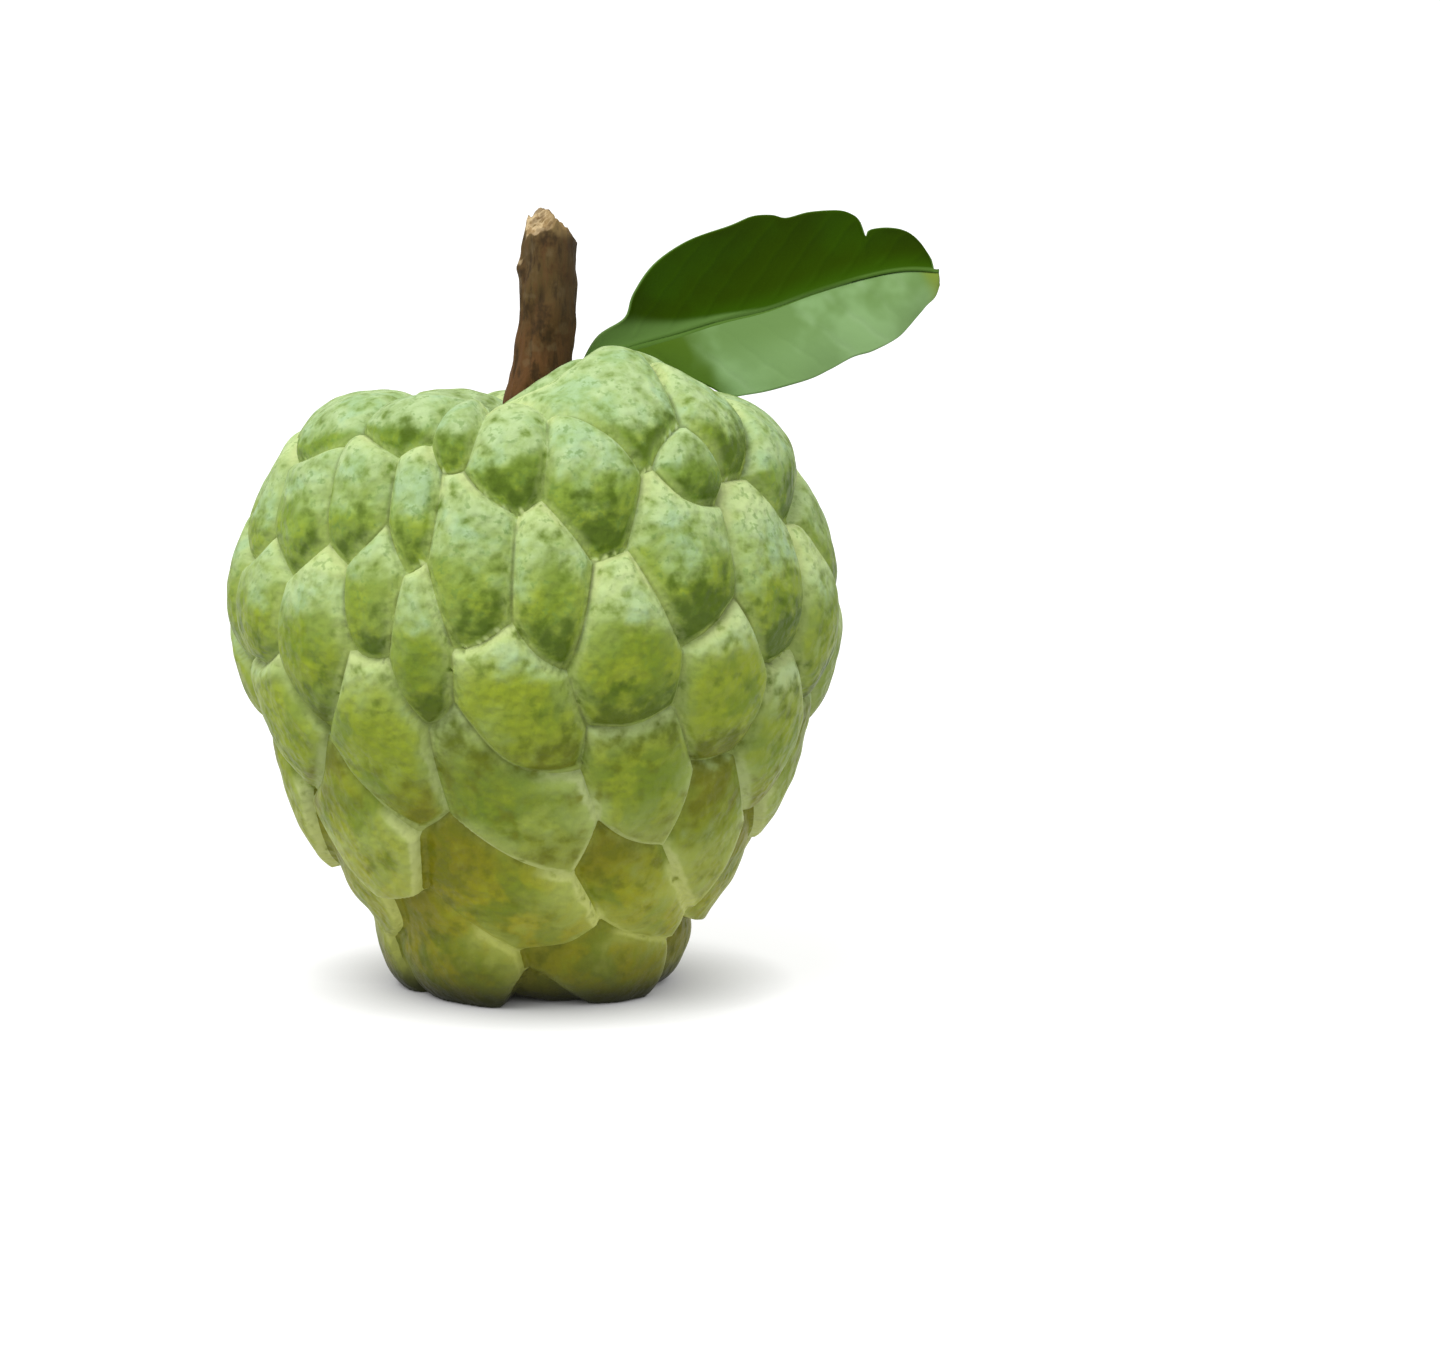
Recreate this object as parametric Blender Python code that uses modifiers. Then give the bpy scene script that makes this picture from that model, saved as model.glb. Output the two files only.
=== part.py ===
"""A whole custard apple (sugar apple) as picked, with its woody stem and one leaf.

The fruit stands on small flats that its own weight has pressed into its lowest lobes.
The origin is on that resting plane, under the fruit's axis. +Z is up, and -Y is the
fruit's front. Lengths are in metres, worked out from the driving sizes below.

Three solids: the fruit, one body whose skin is raised in overlapping lobes; the stem,
a torn twig set in a plain blind hole in the fruit's crown; and the leaf, a folded blade
with its petiole, which reaches the stem behind the crown lobes.
"""

import math

import bmesh
import bpy
import numpy as np
from mathutils import Vector

MM = 0.001

# Fruit: its half outline in mm at groove level, as (radius, height), from the base to the crown pit
OUTLINE = [
    (0.0, 2.9), (9.0, 2.7), (14.2, 2.9), (16.6, 6.0), (18.4, 11.0), (22.9, 16.6), (27.3, 24.0),
    (31.1, 31.8), (34.4, 39.0), (36.2, 46.0), (36.4, 51.5), (34.8, 58.0), (32.2, 64.0), (29.4, 69.7),
    (24.4, 73.1), (18.2, 73.9), (12.6, 72.6), (7.4, 69.2), (0.0, 67.6),
]
STEPS_PER_SPAN = 24

# The crown swells on one side: place from the axis, spread and height of the swelling
SWELL_X, SWELL_Y = 10.0 * MM, -10.0 * MM
SWELL_SPREAD = 6.8 * MM
SWELL_HEIGHT = 7.9 * MM
SWELL_FROM, SWELL_FULL = 55.0 * MM, 75.0 * MM
CROWN_SLOPE = 0.11  # the crown is higher in front than at the back

# Lobes on the front of the fruit, where each differs most from the rule below: turn from the front
# in degrees, distance up the outline in mm, half width and half length in mm, lean in degrees
FRONT_LOBES = [
    (-11.5, 78.0, 5.6, 12.0, 5), (4, 75.5, 4.8, 9.6, 3), (-5, 89.5, 5.5, 8.2, 3),
    (13.5, 87.0, 5.8, 9.6, 4), (25, 96.5, 8.4, 10.6, 28), (54, 93.0, 7.2, 7.5, 15),
    (39, 87.0, 4.5, 6.0, 3), (73, 88.0, 7.0, 7.5, 20), (-32, 74.5, 4.3, 9.6, 0),
    (-21, 68.0, 3.8, 11.6, 5), (-46, 67.5, 6.5, 11.6, -1), (-3.5, 60.5, 6.0, 12.0, 22),
    (-33.5, 55.5, 6.7, 12.8, 10), (-5, 48.0, 7.2, 13.0, 33), (-48, 42.5, 8.2, 11.0, 16),
    (-8.5, 31.5, 7.9, 13.0, 47), (-36, 22.5, 8.5, 9.8, 32), (19, 21.5, 6.8, 10.8, 50),
    (-68, 70.5, 6.6, 9.5, 8), (-63, 55.5, 7.4, 10.5, 10), (-57.5, 83.0, 6.5, 9.0, 12),
    (-40, 84.0, 5.6, 8.5, 8), (-26, 83.0, 3.5, 8.4, 8), (-18, 92.0, 3.2, 6.0, 8),
    (-36, 95.0, 6.0, 6.5, 18), (-65, 94.0, 7.0, 8.0, 18), (28, 33.0, 5.5, 12.0, 35),
    (-75, 81.0, 5.5, 8.5, 12),
]
# The blossom end, right under the axis, and the lean of the lobes, which grows towards it
BASE_LOBE = (0, 0, 7.0, 7.0, 0)
LEAN_AT_BASE = math.radians(40)
LEAN_UP_TO = 80 * MM

# All other lobes: set in a spiral like a pine cone's scales, then let settle between their neighbours
LOBES_ALL_ROUND = 84
GOLDEN_ANGLE = math.radians(137.508)
SPIRAL_START = math.radians(280)
LOBED_UP_TO = 111.5 * MM
LOBE_HALF_WIDTH = 6.1 * MM
LOBE_HALF_LENGTH = 10.6 * MM
CROWN_SHORTENING = 0.72  # how much shorter the lobes round the crown pit are
ROOM = 1.25  # a lobe of the spiral is left out where it would be nearer than this to a given one
SETTLING_ROUNDS = 3
SETTLING_POINTS = 5000
LOBE_DRIFT = 0.9 * MM
SEED = 7

# The form of a lobe
LOBE_RISE = 3.4 * MM
LOBE_RISE_SPREAD = 0.10
LOBE_TILT = 0.3 * MM  # how much prouder the lower tip is than the middle
LOW_LOBE_TILT = 1.8 * MM  # the same for the overlapping lobes near the foot
LOBE_FALL = 0.32  # the share of its rise that a lobe has lost at its edge
LOW_LOBE_FALL = 0.22
NOSE_FROM = 0.30  # how far down a high lobe its nose starts to turn in, and how much it turns
NOSE_DROP = 1.2 * MM
LOW_LOBES_TO = 40 * MM  # up to where on the outline lobes are low ones, and from where high ones
HIGH_LOBES_FROM = 62 * MM
LOBE_SQUARENESS = 4.0
LOBE_OVERLAP = 0.5  # how firmly a lower tip lies over the lobe below it
STEP_SHARPNESS = 6.0
NEIGHBOURS = 5
EDGE_DROP = 1.5 * MM  # how deep the rounding of a lobe's edge goes, and how far in it starts
LOW_EDGE_DROP = 0.6 * MM
EDGE_ROUNDING = 2.0 * MM
GROOVE_ROUNDING = 0.4 * MM  # how round the bottom of a groove is

# Fruit mesh
SPHERE_SUBDIVISIONS = 7
FRUIT_TRIANGLES = 11200

# Stem: the points of its axis in mm as (x, y, z), with its radius there
STEM_LINE = [
    (-0.4, 0.0, 67.2, 4.7), (-0.4, 0.0, 71.0, 4.7), (0.0, 0.0, 75.0, 4.3), (0.8, 0.0, 79.5, 3.95),
    (1.6, 0.0, 85.0, 3.65), (1.9, 0.0, 90.5, 3.6), (2.0, 0.0, 95.0, 3.5), (2.0, 0.0, 102.5, 3.45),
]
STEM_SIDES = 18
STEM_RINGS_PER_SPAN = 3
STEM_ROUGHNESS = 0.22 * MM
STEM_SMOOTH_BELOW = 71.5 * MM  # the root is round where it sits in the fruit
SOCKET_GAP = 0.3 * MM
# The torn end: planes that break it off, as a point in mm and the way each one faces
STEM_BREAKS = [
    ((-0.4, 0.0, 98.2), (-0.50, -0.35, 0.80)), ((3.6, 0.0, 98.2), (0.75, 0.12, 0.65)),
    ((1.6, 1.0, 100.4), (0.15, 0.25, 1.0)), ((-1.3, 0.0, 96.0), (-0.97, -0.1, 0.22)),
]

# Leaf: the line of its midrib in mm from the stem to the tip, as (x, y, z)
MIDRIB = [
    (5.2, 2.3, 78.6), (8.0, 4.6, 80.9), (12.4, 7.6, 81.9), (18.0, 11.0, 83.0), (23.7, 14.0, 84.4),
    (30.0, 16.0, 85.7), (36.0, 17.4, 87.7), (43.0, 18.9, 89.6), (48.0, 19.8, 90.4), (52.4, 20.8, 90.2),
]
# Its half widths in mm against the distance along x, for the far half, which stands up, and the near one
FAR_WIDTH = [
    (6.0, 0.7), (8.2, 2.6), (11.6, 3.9), (12.7, 6.7), (15.3, 9.8), (19.6, 11.6), (25.0, 12.1),
    (28.0, 12.6), (30.5, 12.1), (32.4, 11.1), (35.4, 10.8), (39.1, 9.8), (40.9, 8.8), (41.9, 7.7),
    (42.8, 5.4), (43.4, 6.1), (45.8, 5.9), (48.2, 5.1), (50.0, 3.6), (51.2, 1.8), (51.7, 0.4),
    (52.4, 0.3),
]
NEAR_WIDTH = [
    (6.0, 0.7), (10.0, 1.8), (14.0, 3.0), (18.0, 5.2), (22.0, 8.5), (25.0, 10.8), (28.0, 11.2),
    (34.5, 12.0), (38.0, 11.4), (41.0, 10.7), (43.8, 10.7), (46.9, 9.4), (49.6, 6.3), (50.7, 4.9),
    (51.8, 3.7), (52.4, 1.9),
]
FAR_RISE = math.radians(84)
NEAR_DROP = math.radians(60)
BLADE_FROM, BLADE_TO = 6.0, 52.4
BLADE_STEPS_ALONG = 40
BLADE_STEPS_ACROSS = 10
BLADE_THICKNESS = 0.7 * MM
BLADE_CAMBER = 0.9 * MM  # how far each half bulges between midrib and margin
BLADE_WAVE = 0.35 * MM
RIB_RADIUS = 0.85
RIB_DEPTH = 0.35 * MM


def smoothstep(low, high, value):
    """0 below low, 1 above high, and a smooth rise between."""
    share = np.clip((value - low) / (high - low), 0.0, 1.0)
    return share * share * (3 - 2 * share)


def catmull_rom(points, steps):
    """A smooth line through the middle points; the first and last only steer it."""
    points = np.array(points, float)
    line = []
    for before, start, end, after in zip(points, points[1:], points[2:], points[3:]):
        for share in np.arange(steps) / steps:
            line.append(
                0.5 * (
                    2 * start
                    + (end - before) * share
                    + (2 * before - 5 * start + 4 * end - after) * share**2
                    + (3 * start - before - 3 * end + after) * share**3
                )
            )
    line.append(points[-2])
    return np.array(line)


def open_line(points, steps):
    """A smooth line through all the points, straight on at both ends."""
    points = np.array(points, float)
    return catmull_rom([2 * points[0] - points[1], *points, 2 * points[-1] - points[-2]], steps)


class Body:
    """The fruit's smooth body at groove level: a turned form with a swelling on its crown."""

    def __init__(self):
        knots = np.array(OUTLINE)
        mirror = np.array([-1.0, 1.0])
        line = catmull_rom([knots[1] * mirror, *knots, knots[-2] * mirror], STEPS_PER_SPAN) * MM
        self.radius = np.maximum(line[:, 0], 0.0)
        self.height = line[:, 1]
        steps = np.hypot(*np.diff(line, axis=0).T)
        self.along = np.concatenate([[0.0], np.cumsum(steps)])
        self.slope_r = np.gradient(self.radius, self.along)
        self.slope_z = np.gradient(self.height, self.along)
        rings = steps * math.pi * (self.radius[1:] + self.radius[:-1])
        self.area = np.concatenate([[0.0], np.cumsum(rings)])
        self.length = self.along[-1]

    def place(self, turn, along):
        """Points on the body, with their outward, downward and eastward directions.

        turn is the angle from the front towards +X, and along the distance up the outline.
        """
        radius = np.interp(along, self.along, self.radius)
        height = np.interp(along, self.along, self.height)
        slope_r = np.interp(along, self.along, self.slope_r)
        slope_z = np.interp(along, self.along, self.slope_z)
        norm = np.hypot(slope_r, slope_z)
        slope_r, slope_z = slope_r / norm, slope_z / norm
        sine, cosine = np.sin(turn), np.cos(turn)
        x, y = radius * sine, -radius * cosine
        off = ((x - SWELL_X) ** 2 + (y - SWELL_Y) ** 2) / (2 * SWELL_SPREAD**2)
        swell = SWELL_HEIGHT * np.exp(-off) - CROWN_SLOPE * y
        height = height + swell * smoothstep(SWELL_FROM, SWELL_FULL, height)
        point = np.stack([x, y, height], axis=-1)
        outward = np.stack([slope_z * sine, -slope_z * cosine, -slope_r], axis=-1)
        down = np.stack([-slope_r * sine, slope_r * cosine, -slope_z], axis=-1)
        east = np.stack([cosine, sine, np.zeros_like(turn)], axis=-1)
        return point, outward, down, east


class Lobes:
    """The lobes' places and sizes, and the relief that they raise."""

    def __init__(self, body):
        self.body = body
        given = np.array([BASE_LOBE, *FRONT_LOBES], float)
        self.turn = np.radians(given[:, 0])
        self.along = given[:, 1] * MM
        self.width = given[:, 2] * MM
        self.length = given[:, 3] * MM
        self.lean = np.radians(given[:, 4])
        self.fixed = len(given)
        self.add_spiral()
        self.settle()
        draw = np.random.default_rng(SEED)
        self.along[self.fixed:] += LOBE_DRIFT * draw.uniform(-1, 1, len(self.along) - self.fixed)
        self.rise = LOBE_RISE * (1 + LOBE_RISE_SPREAD * draw.uniform(-1, 1, len(self.along)))
        self.find_frames()

    def find_frames(self):
        self.centre, self.outward, self.down, self.east = self.body.place(self.turn, self.along)

    def add_spiral(self):
        """Adds the spiral's lobes wherever the given ones leave room."""
        self.find_frames()
        number = np.arange(LOBES_ALL_ROUND)
        lobed_area = np.interp(LOBED_UP_TO, self.body.along, self.body.area)
        along = np.interp(lobed_area * (number + 0.5) / LOBES_ALL_ROUND, self.body.area, self.body.along)
        turn = SPIRAL_START - GOLDEN_ANGLE * number
        free = self.reach(self.body.place(turn, along)[0])[0].min(axis=1) > ROOM
        turn, along = turn[free], along[free]
        shorter = 1 - (1 - CROWN_SHORTENING) * smoothstep(0.72, 0.9, along / self.body.length)
        self.turn = np.append(self.turn, turn)
        self.along = np.append(self.along, along)
        self.width = np.append(self.width, np.full(len(turn), LOBE_HALF_WIDTH))
        self.length = np.append(self.length, LOBE_HALF_LENGTH * shorter)
        self.lean = np.append(self.lean, LEAN_AT_BASE * np.clip(1 - along / LEAN_UP_TO, 0, 1))

    def settle(self):
        """Moves each free lobe to the middle of the ground that is nearest to it, a few times over."""
        number = np.arange(SETTLING_POINTS)
        lobed_area = np.interp(LOBED_UP_TO + 3 * MM, self.body.along, self.body.area)
        along = np.interp(lobed_area * (number + 0.5) / SETTLING_POINTS, self.body.area, self.body.along)
        ground = self.body.place(GOLDEN_ANGLE * number, along)[0]
        for _ in range(SETTLING_ROUNDS):
            self.find_frames()
            owner = self.reach(ground)[0].argmin(axis=1)
            for lobe in range(self.fixed, len(self.turn)):
                own = ground[owner == lobe] - self.centre[lobe]
                if len(own):
                    middle = own.mean(axis=0)
                    radius = np.interp(self.along[lobe], self.body.along, self.body.radius)
                    self.turn[lobe] += middle @ self.east[lobe] / max(radius, 5 * MM)
                    self.along[lobe] -= middle @ self.down[lobe]

    def reach(self, points):
        """How far each point is from each lobe's middle, where 1 is at the lobe's edge, how far it is
        down the lobe's length, and the ways in which the two grow."""
        cosine, sine = np.cos(self.lean)[:, None], np.sin(self.lean)[:, None]
        aside = (self.east * cosine - self.down * sine) / self.width[:, None]
        onward = (self.east * sine + self.down * cosine) / self.length[:, None]
        outward = self.outward / self.width[:, None]
        offset = points[:, None, :] - self.centre[None, :, :]
        sideways = np.einsum("pli,li->pl", offset, aside)
        lengthways = np.einsum("pli,li->pl", offset, onward)
        outwards = np.einsum("pli,li->pl", offset, outward)
        reach = np.sqrt(sideways**2 + lengthways**2 + outwards**2) + 1e-9
        growth = (sideways[..., None] * aside + lengthways[..., None] * onward) / reach[..., None]
        return reach, lengthways, growth, onward

    def relief(self, points):
        """The height of the skin over the body: domed tilted lobes with rounded edges."""
        reach, lengthways, growth, onward = self.reach(points)
        power = LOBE_SQUARENESS
        score = reach**power - LOBE_OVERLAP * lengthways
        growth = power * reach[..., None] ** (power - 1) * growth - LOBE_OVERLAP * onward
        row = np.arange(len(points))[:, None]
        near = np.argsort(score, axis=1)[:, :NEIGHBOURS]
        own, others = near[:, :1], near[:, 1:]
        lead = score[row, others] - score[row, own]
        spread = np.linalg.norm(growth[row, others] - growth[row, own], axis=2)
        from_edge = np.hypot((lead / np.maximum(spread, 1e-6)).min(axis=1), GROOVE_ROUNDING)
        share = np.exp(-STEP_SHARPNESS * (score - score[row, own]))
        share /= share.sum(axis=1, keepdims=True)
        low = 1 - smoothstep(LOW_LOBES_TO, HIGH_LOBES_FROM, self.along)
        fall = LOBE_FALL + (LOW_LOBE_FALL - LOBE_FALL) * low
        tilt = LOBE_TILT + (LOW_LOBE_TILT - LOBE_TILT) * low
        drop = EDGE_DROP + (LOW_EDGE_DROP - EDGE_DROP) * low
        nose = np.clip((lengthways - NOSE_FROM) / (1 - NOSE_FROM), 0, 1.2)
        form = self.rise * (1 - fall * np.minimum(reach, 1.4) ** 2)
        form = form + tilt * np.clip(lengthways, -1.3, 1.3) - NOSE_DROP * (1 - low) * nose**2
        edge = 1 - np.clip(from_edge / EDGE_ROUNDING, 0, 1)
        return (share * (form - drop * edge[:, None] ** 2.5)).sum(axis=1)


def add_object(name, mesh, material=None, collection="custard_apple"):
    obj = bpy.data.objects.new(name, mesh)
    if material:
        obj.data.materials.append(material)
    bpy.data.collections[collection].objects.link(obj)
    return obj


def as_mesh(obj):
    """The object's mesh as its modifiers or its curve make it."""
    bpy.context.view_layer.update()
    graph = bpy.context.evaluated_depsgraph_get()
    mesh = bpy.data.meshes.new_from_object(obj.evaluated_get(graph))
    mesh.name = obj.name
    return mesh


def apply_modifiers(obj):
    obj.data = as_mesh(obj)
    obj.modifiers.clear()


def plain_material(name, colour, roughness):
    """A Principled material with one colour, given as linear red, green and blue."""
    material = bpy.data.materials.new(name)
    material.use_nodes = True
    shader = material.node_tree.nodes["Principled BSDF"]
    shader.inputs["Base Color"].default_value = (*colour, 1.0)
    shader.inputs["Roughness"].default_value = roughness
    shader.inputs["Metallic"].default_value = 0.0
    return material


def break_off(mesh, point, facing):
    """Takes away what lies beyond a plane, and closes the break."""
    form = bmesh.new()
    form.from_mesh(mesh)
    everything = form.verts[:] + form.edges[:] + form.faces[:]
    bmesh.ops.bisect_plane(
        form, geom=everything, dist=1e-6, plane_co=point, plane_no=facing, clear_outer=True
    )
    rims = [edge for edge in form.edges if edge.is_boundary]
    bmesh.ops.holes_fill(form, edges=rims)
    bmesh.ops.triangulate(form, faces=[face for face in form.faces if len(face.verts) > 4])
    form.to_mesh(mesh)
    form.free()


def shade_smooth(obj, angle):
    obj.data.shade_smooth()
    obj.data.set_sharp_from_angle(angle=math.radians(angle))


def fruit():
    """The fruit: a sphere drawn out to the body, raised in lobes, thinned and pressed flat below."""
    body = Body()
    lobes = Lobes(body)
    shell = bmesh.new()
    bmesh.ops.create_icosphere(shell, subdivisions=SPHERE_SUBDIVISIONS, radius=1.0)
    sphere = np.array([vert.co for vert in shell.verts])
    turn = np.arctan2(sphere[:, 0], -sphere[:, 1])
    along = np.arccos(np.clip(-sphere[:, 2], -1, 1)) / math.pi * body.length
    points, outward, _, _ = body.place(turn, along)
    points = points + outward * lobes.relief(points)[:, None]
    for vert, point in zip(shell.verts, points):
        vert.co = point
    mesh = bpy.data.meshes.new("fruit")
    shell.to_mesh(mesh)
    triangles = len(shell.faces)
    shell.free()

    skin = plain_material("green_skin", (0.29, 0.40, 0.08), 0.55)
    obj = add_object("fruit", mesh, skin)
    thin = obj.modifiers.new("thin", "DECIMATE")
    thin.ratio = FRUIT_TRIANGLES / triangles
    apply_modifiers(obj)
    cut_away(obj, resting_plane())
    cut_away(obj, stem_socket())
    shade_smooth(obj, 60)
    return obj


def resting_plane():
    """A block whose top is the plane that the fruit rests on."""
    size = 60 * MM
    block = bmesh.new()
    bmesh.ops.create_cube(block, size=size)
    mesh = bpy.data.meshes.new("resting_plane")
    block.to_mesh(mesh)
    block.free()
    cutter = add_object("resting_plane", mesh, collection="cutters")
    cutter.location.z = -size / 2
    return cutter


def stem_socket():
    """A rod the size of the plain blind hole that the stem's root sits in."""
    root_x, root_y, root_z, root_radius = STEM_LINE[0]
    depth = 12 * MM
    rod = bmesh.new()
    bmesh.ops.create_cone(
        rod, cap_ends=True, segments=32, radius1=root_radius * MM + SOCKET_GAP,
        radius2=root_radius * MM + SOCKET_GAP, depth=depth,
    )
    mesh = bpy.data.meshes.new("stem_socket")
    rod.to_mesh(mesh)
    rod.free()
    cutter = add_object("stem_socket", mesh, collection="cutters")
    cutter.location = (root_x * MM, root_y * MM, root_z * MM - SOCKET_GAP + depth / 2)
    return cutter


def cut_away(obj, cutter):
    """Cuts a hidden cutter's form out of the object."""
    cutter.hide_render = True
    cutter.display_type = "WIRE"
    cut = obj.modifiers.new(cutter.name, "BOOLEAN")
    cut.operation = "DIFFERENCE"
    cut.solver = "EXACT"
    cut.object = cutter
    apply_modifiers(obj)


def stem():
    """The stem: a bent tapering twig, fluted and knobbly, with a torn end."""
    line = open_line(STEM_LINE, STEM_RINGS_PER_SPAN) * MM
    twig = bmesh.new()
    bmesh.ops.create_cone(
        twig, cap_ends=True, segments=STEM_SIDES, radius1=1.0, radius2=1.0, depth=1.0
    )
    flanks = [edge for edge in twig.edges if abs(edge.verts[0].co.z - edge.verts[1].co.z) > 0.5]
    bmesh.ops.subdivide_edges(twig, edges=flanks, cuts=len(line) - 2, use_grid_fill=True)
    for vert in twig.verts:
        ring = round((vert.co.z + 0.5) * (len(line) - 1))
        x, y, z, radius = line[ring]
        turn = math.atan2(vert.co.y, vert.co.x)
        rough = STEM_ROUGHNESS * smoothstep(STEM_SMOOTH_BELOW, STEM_SMOOTH_BELOW + 3 * MM, z)
        flutes = math.sin(3 * turn + 260 * z) + 0.7 * math.sin(5 * turn - 420 * z + 1.3)
        knobs = math.sin(900 * z + 2 * math.sin(2 * turn + 0.6))
        reach = radius + rough * (0.6 * flutes + 0.5 * knobs)
        vert.co = (x + reach * math.cos(turn), y + reach * math.sin(turn), z)
    mesh = bpy.data.meshes.new("stem")
    twig.to_mesh(mesh)
    twig.free()
    for point, facing in STEM_BREAKS:
        break_off(mesh, Vector(point) * MM, facing)
    obj = add_object("stem", mesh, plain_material("brown_bark", (0.09, 0.055, 0.025), 0.85))
    shade_smooth(obj, 45)
    return obj


def leaf_line():
    """The midrib's line as arrays of x, y and z in mm."""
    return open_line(MIDRIB, 12).T


def blade_point(x, across):
    """A point of the blade, in mm: across is -1 at the near margin, 0 at the midrib, 1 at the far one."""
    rib_x, rib_y, rib_z = leaf_line()
    y, z = np.interp(x, rib_x, rib_y), np.interp(x, rib_x, rib_z)
    far = across > 0
    width = np.interp(x, *open_line(FAR_WIDTH if far else NEAR_WIDTH, 6).T)
    tilt = FAR_RISE if far else -NEAR_DROP
    out = abs(across) * width
    camber = BLADE_CAMBER / MM * math.sin(math.pi * abs(across)) * min(width / 12, 1)
    wave = BLADE_WAVE / MM * across**2 * math.sin(0.55 * x + (1.0 if far else 2.4)) * min(width / 12, 1)
    lift = camber * (-1 if far else 1) + wave
    forward = 1 if far else -1
    y += forward * out * math.cos(tilt) - lift * math.sin(abs(tilt))
    z += out * math.sin(tilt) + lift * math.cos(tilt) * (-1 if far else 1)
    return Vector((x, y, z))


def leaf():
    """The leaf: a thin folded blade on a petiole that runs on as its midrib."""
    sheet = bmesh.new()
    bmesh.ops.create_grid(sheet, x_segments=BLADE_STEPS_ALONG, y_segments=BLADE_STEPS_ACROSS, size=1.0)
    for vert in sheet.verts:
        x = BLADE_FROM + (BLADE_TO - BLADE_FROM) * (vert.co.x + 1) / 2
        vert.co = blade_point(x, vert.co.y) * MM
    bmesh.ops.triangulate(sheet, faces=sheet.faces[:])
    mesh = bpy.data.meshes.new("leaf")
    sheet.to_mesh(mesh)
    sheet.free()
    obj = add_object("leaf", mesh, plain_material("leaf_green", (0.05, 0.14, 0.02), 0.4))
    thick = obj.modifiers.new("thick", "SOLIDIFY")
    thick.thickness = BLADE_THICKNESS
    thick.offset = 0.0
    apply_modifiers(obj)

    rib = petiole()
    join = obj.modifiers.new("petiole", "BOOLEAN")
    join.operation = "UNION"
    join.solver = "EXACT"
    join.object = rib
    apply_modifiers(obj)
    bpy.data.objects.remove(rib)
    shade_smooth(obj, 50)
    return obj


def petiole():
    """The petiole and midrib as one tapering rod, a little below the blade."""
    line = open_line(MIDRIB, 4)
    line = line[line[:, 0] < BLADE_TO - 7]
    curve = bpy.data.curves.new("petiole", "CURVE")
    curve.dimensions = "3D"
    curve.bevel_depth = MM
    curve.bevel_resolution = 2
    curve.use_fill_caps = True
    spline = curve.splines.new("POLY")
    spline.points.add(len(line) - 1)
    for number, (point, (x, y, z)) in enumerate(zip(spline.points, line)):
        point.co = (x * MM, y * MM, z * MM - RIB_DEPTH, 1.0)
        point.radius = RIB_RADIUS * (1.15 - 0.7 * number / (len(line) - 1))
    rod = bpy.data.objects.new("petiole", curve)
    bpy.data.collections["custard_apple"].objects.link(rod)
    mesh = as_mesh(rod)
    bpy.data.objects.remove(rod)
    welded = bmesh.new()
    welded.from_mesh(mesh)
    bmesh.ops.remove_doubles(welded, verts=welded.verts, dist=0.00001)
    welded.to_mesh(mesh)
    welded.free()
    return add_object("petiole", mesh)


def main():
    for obj in list(bpy.data.objects):
        bpy.data.objects.remove(obj)
    for name in ("custard_apple", "cutters"):
        bpy.context.scene.collection.children.link(bpy.data.collections.new(name))
    fruit()
    stem()
    leaf()


main()
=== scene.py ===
"""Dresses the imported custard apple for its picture.

The frame holds three plain solids: the fruit, its stem and its leaf. Here each one is replaced by a
finer piece of the same form: a pebbled skin with sutures between its lobes, a torn twig in cracked
bark, and a thin veined leaf. A pale floor, soft overhead light and the camera follow.
"""

from __future__ import annotations

import logging
import math
from collections.abc import Callable
from dataclasses import dataclass, field

import bmesh
import bpy
import numpy as np
from mathutils import Matrix, Vector, noise


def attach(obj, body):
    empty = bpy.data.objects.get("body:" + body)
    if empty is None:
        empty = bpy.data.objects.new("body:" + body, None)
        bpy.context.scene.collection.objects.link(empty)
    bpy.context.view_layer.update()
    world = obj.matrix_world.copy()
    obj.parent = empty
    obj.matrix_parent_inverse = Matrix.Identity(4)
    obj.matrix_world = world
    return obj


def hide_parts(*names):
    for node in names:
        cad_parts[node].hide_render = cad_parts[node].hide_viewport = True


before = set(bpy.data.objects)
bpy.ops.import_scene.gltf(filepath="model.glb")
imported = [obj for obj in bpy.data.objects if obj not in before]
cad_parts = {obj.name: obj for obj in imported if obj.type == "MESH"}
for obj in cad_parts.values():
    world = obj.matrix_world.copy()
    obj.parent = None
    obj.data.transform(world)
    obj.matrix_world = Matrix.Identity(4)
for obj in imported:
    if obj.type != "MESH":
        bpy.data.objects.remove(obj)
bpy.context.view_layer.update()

log = logging.getLogger("custard_apple")

MM = 0.001
Points = list[tuple[float, ...]]


def linear(hex_colour: str) -> tuple[float, float, float, float]:
    """Turns an sRGB hex colour to the linear one that shaders take.

    Args:
        hex_colour: Six hex digits after a hash sign.

    Returns:
        Linear red, green, blue and an alpha of 1.
    """
    shares = [int(hex_colour[start:start + 2], 16) / 255 for start in (1, 3, 5)]
    curve = [share / 12.92 if share <= 0.04045 else ((share + 0.055) / 1.055) ** 2.4 for share in shares]
    return (*curve, 1.0)


def smoothstep(low: float, high: float, value: np.ndarray | float) -> np.ndarray:
    """Gives 0 below low, 1 above high, and a smooth rise between."""
    share = np.clip((np.asarray(value, float) - low) / (high - low), 0.0, 1.0)
    return share * share * (3 - 2 * share)


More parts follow.
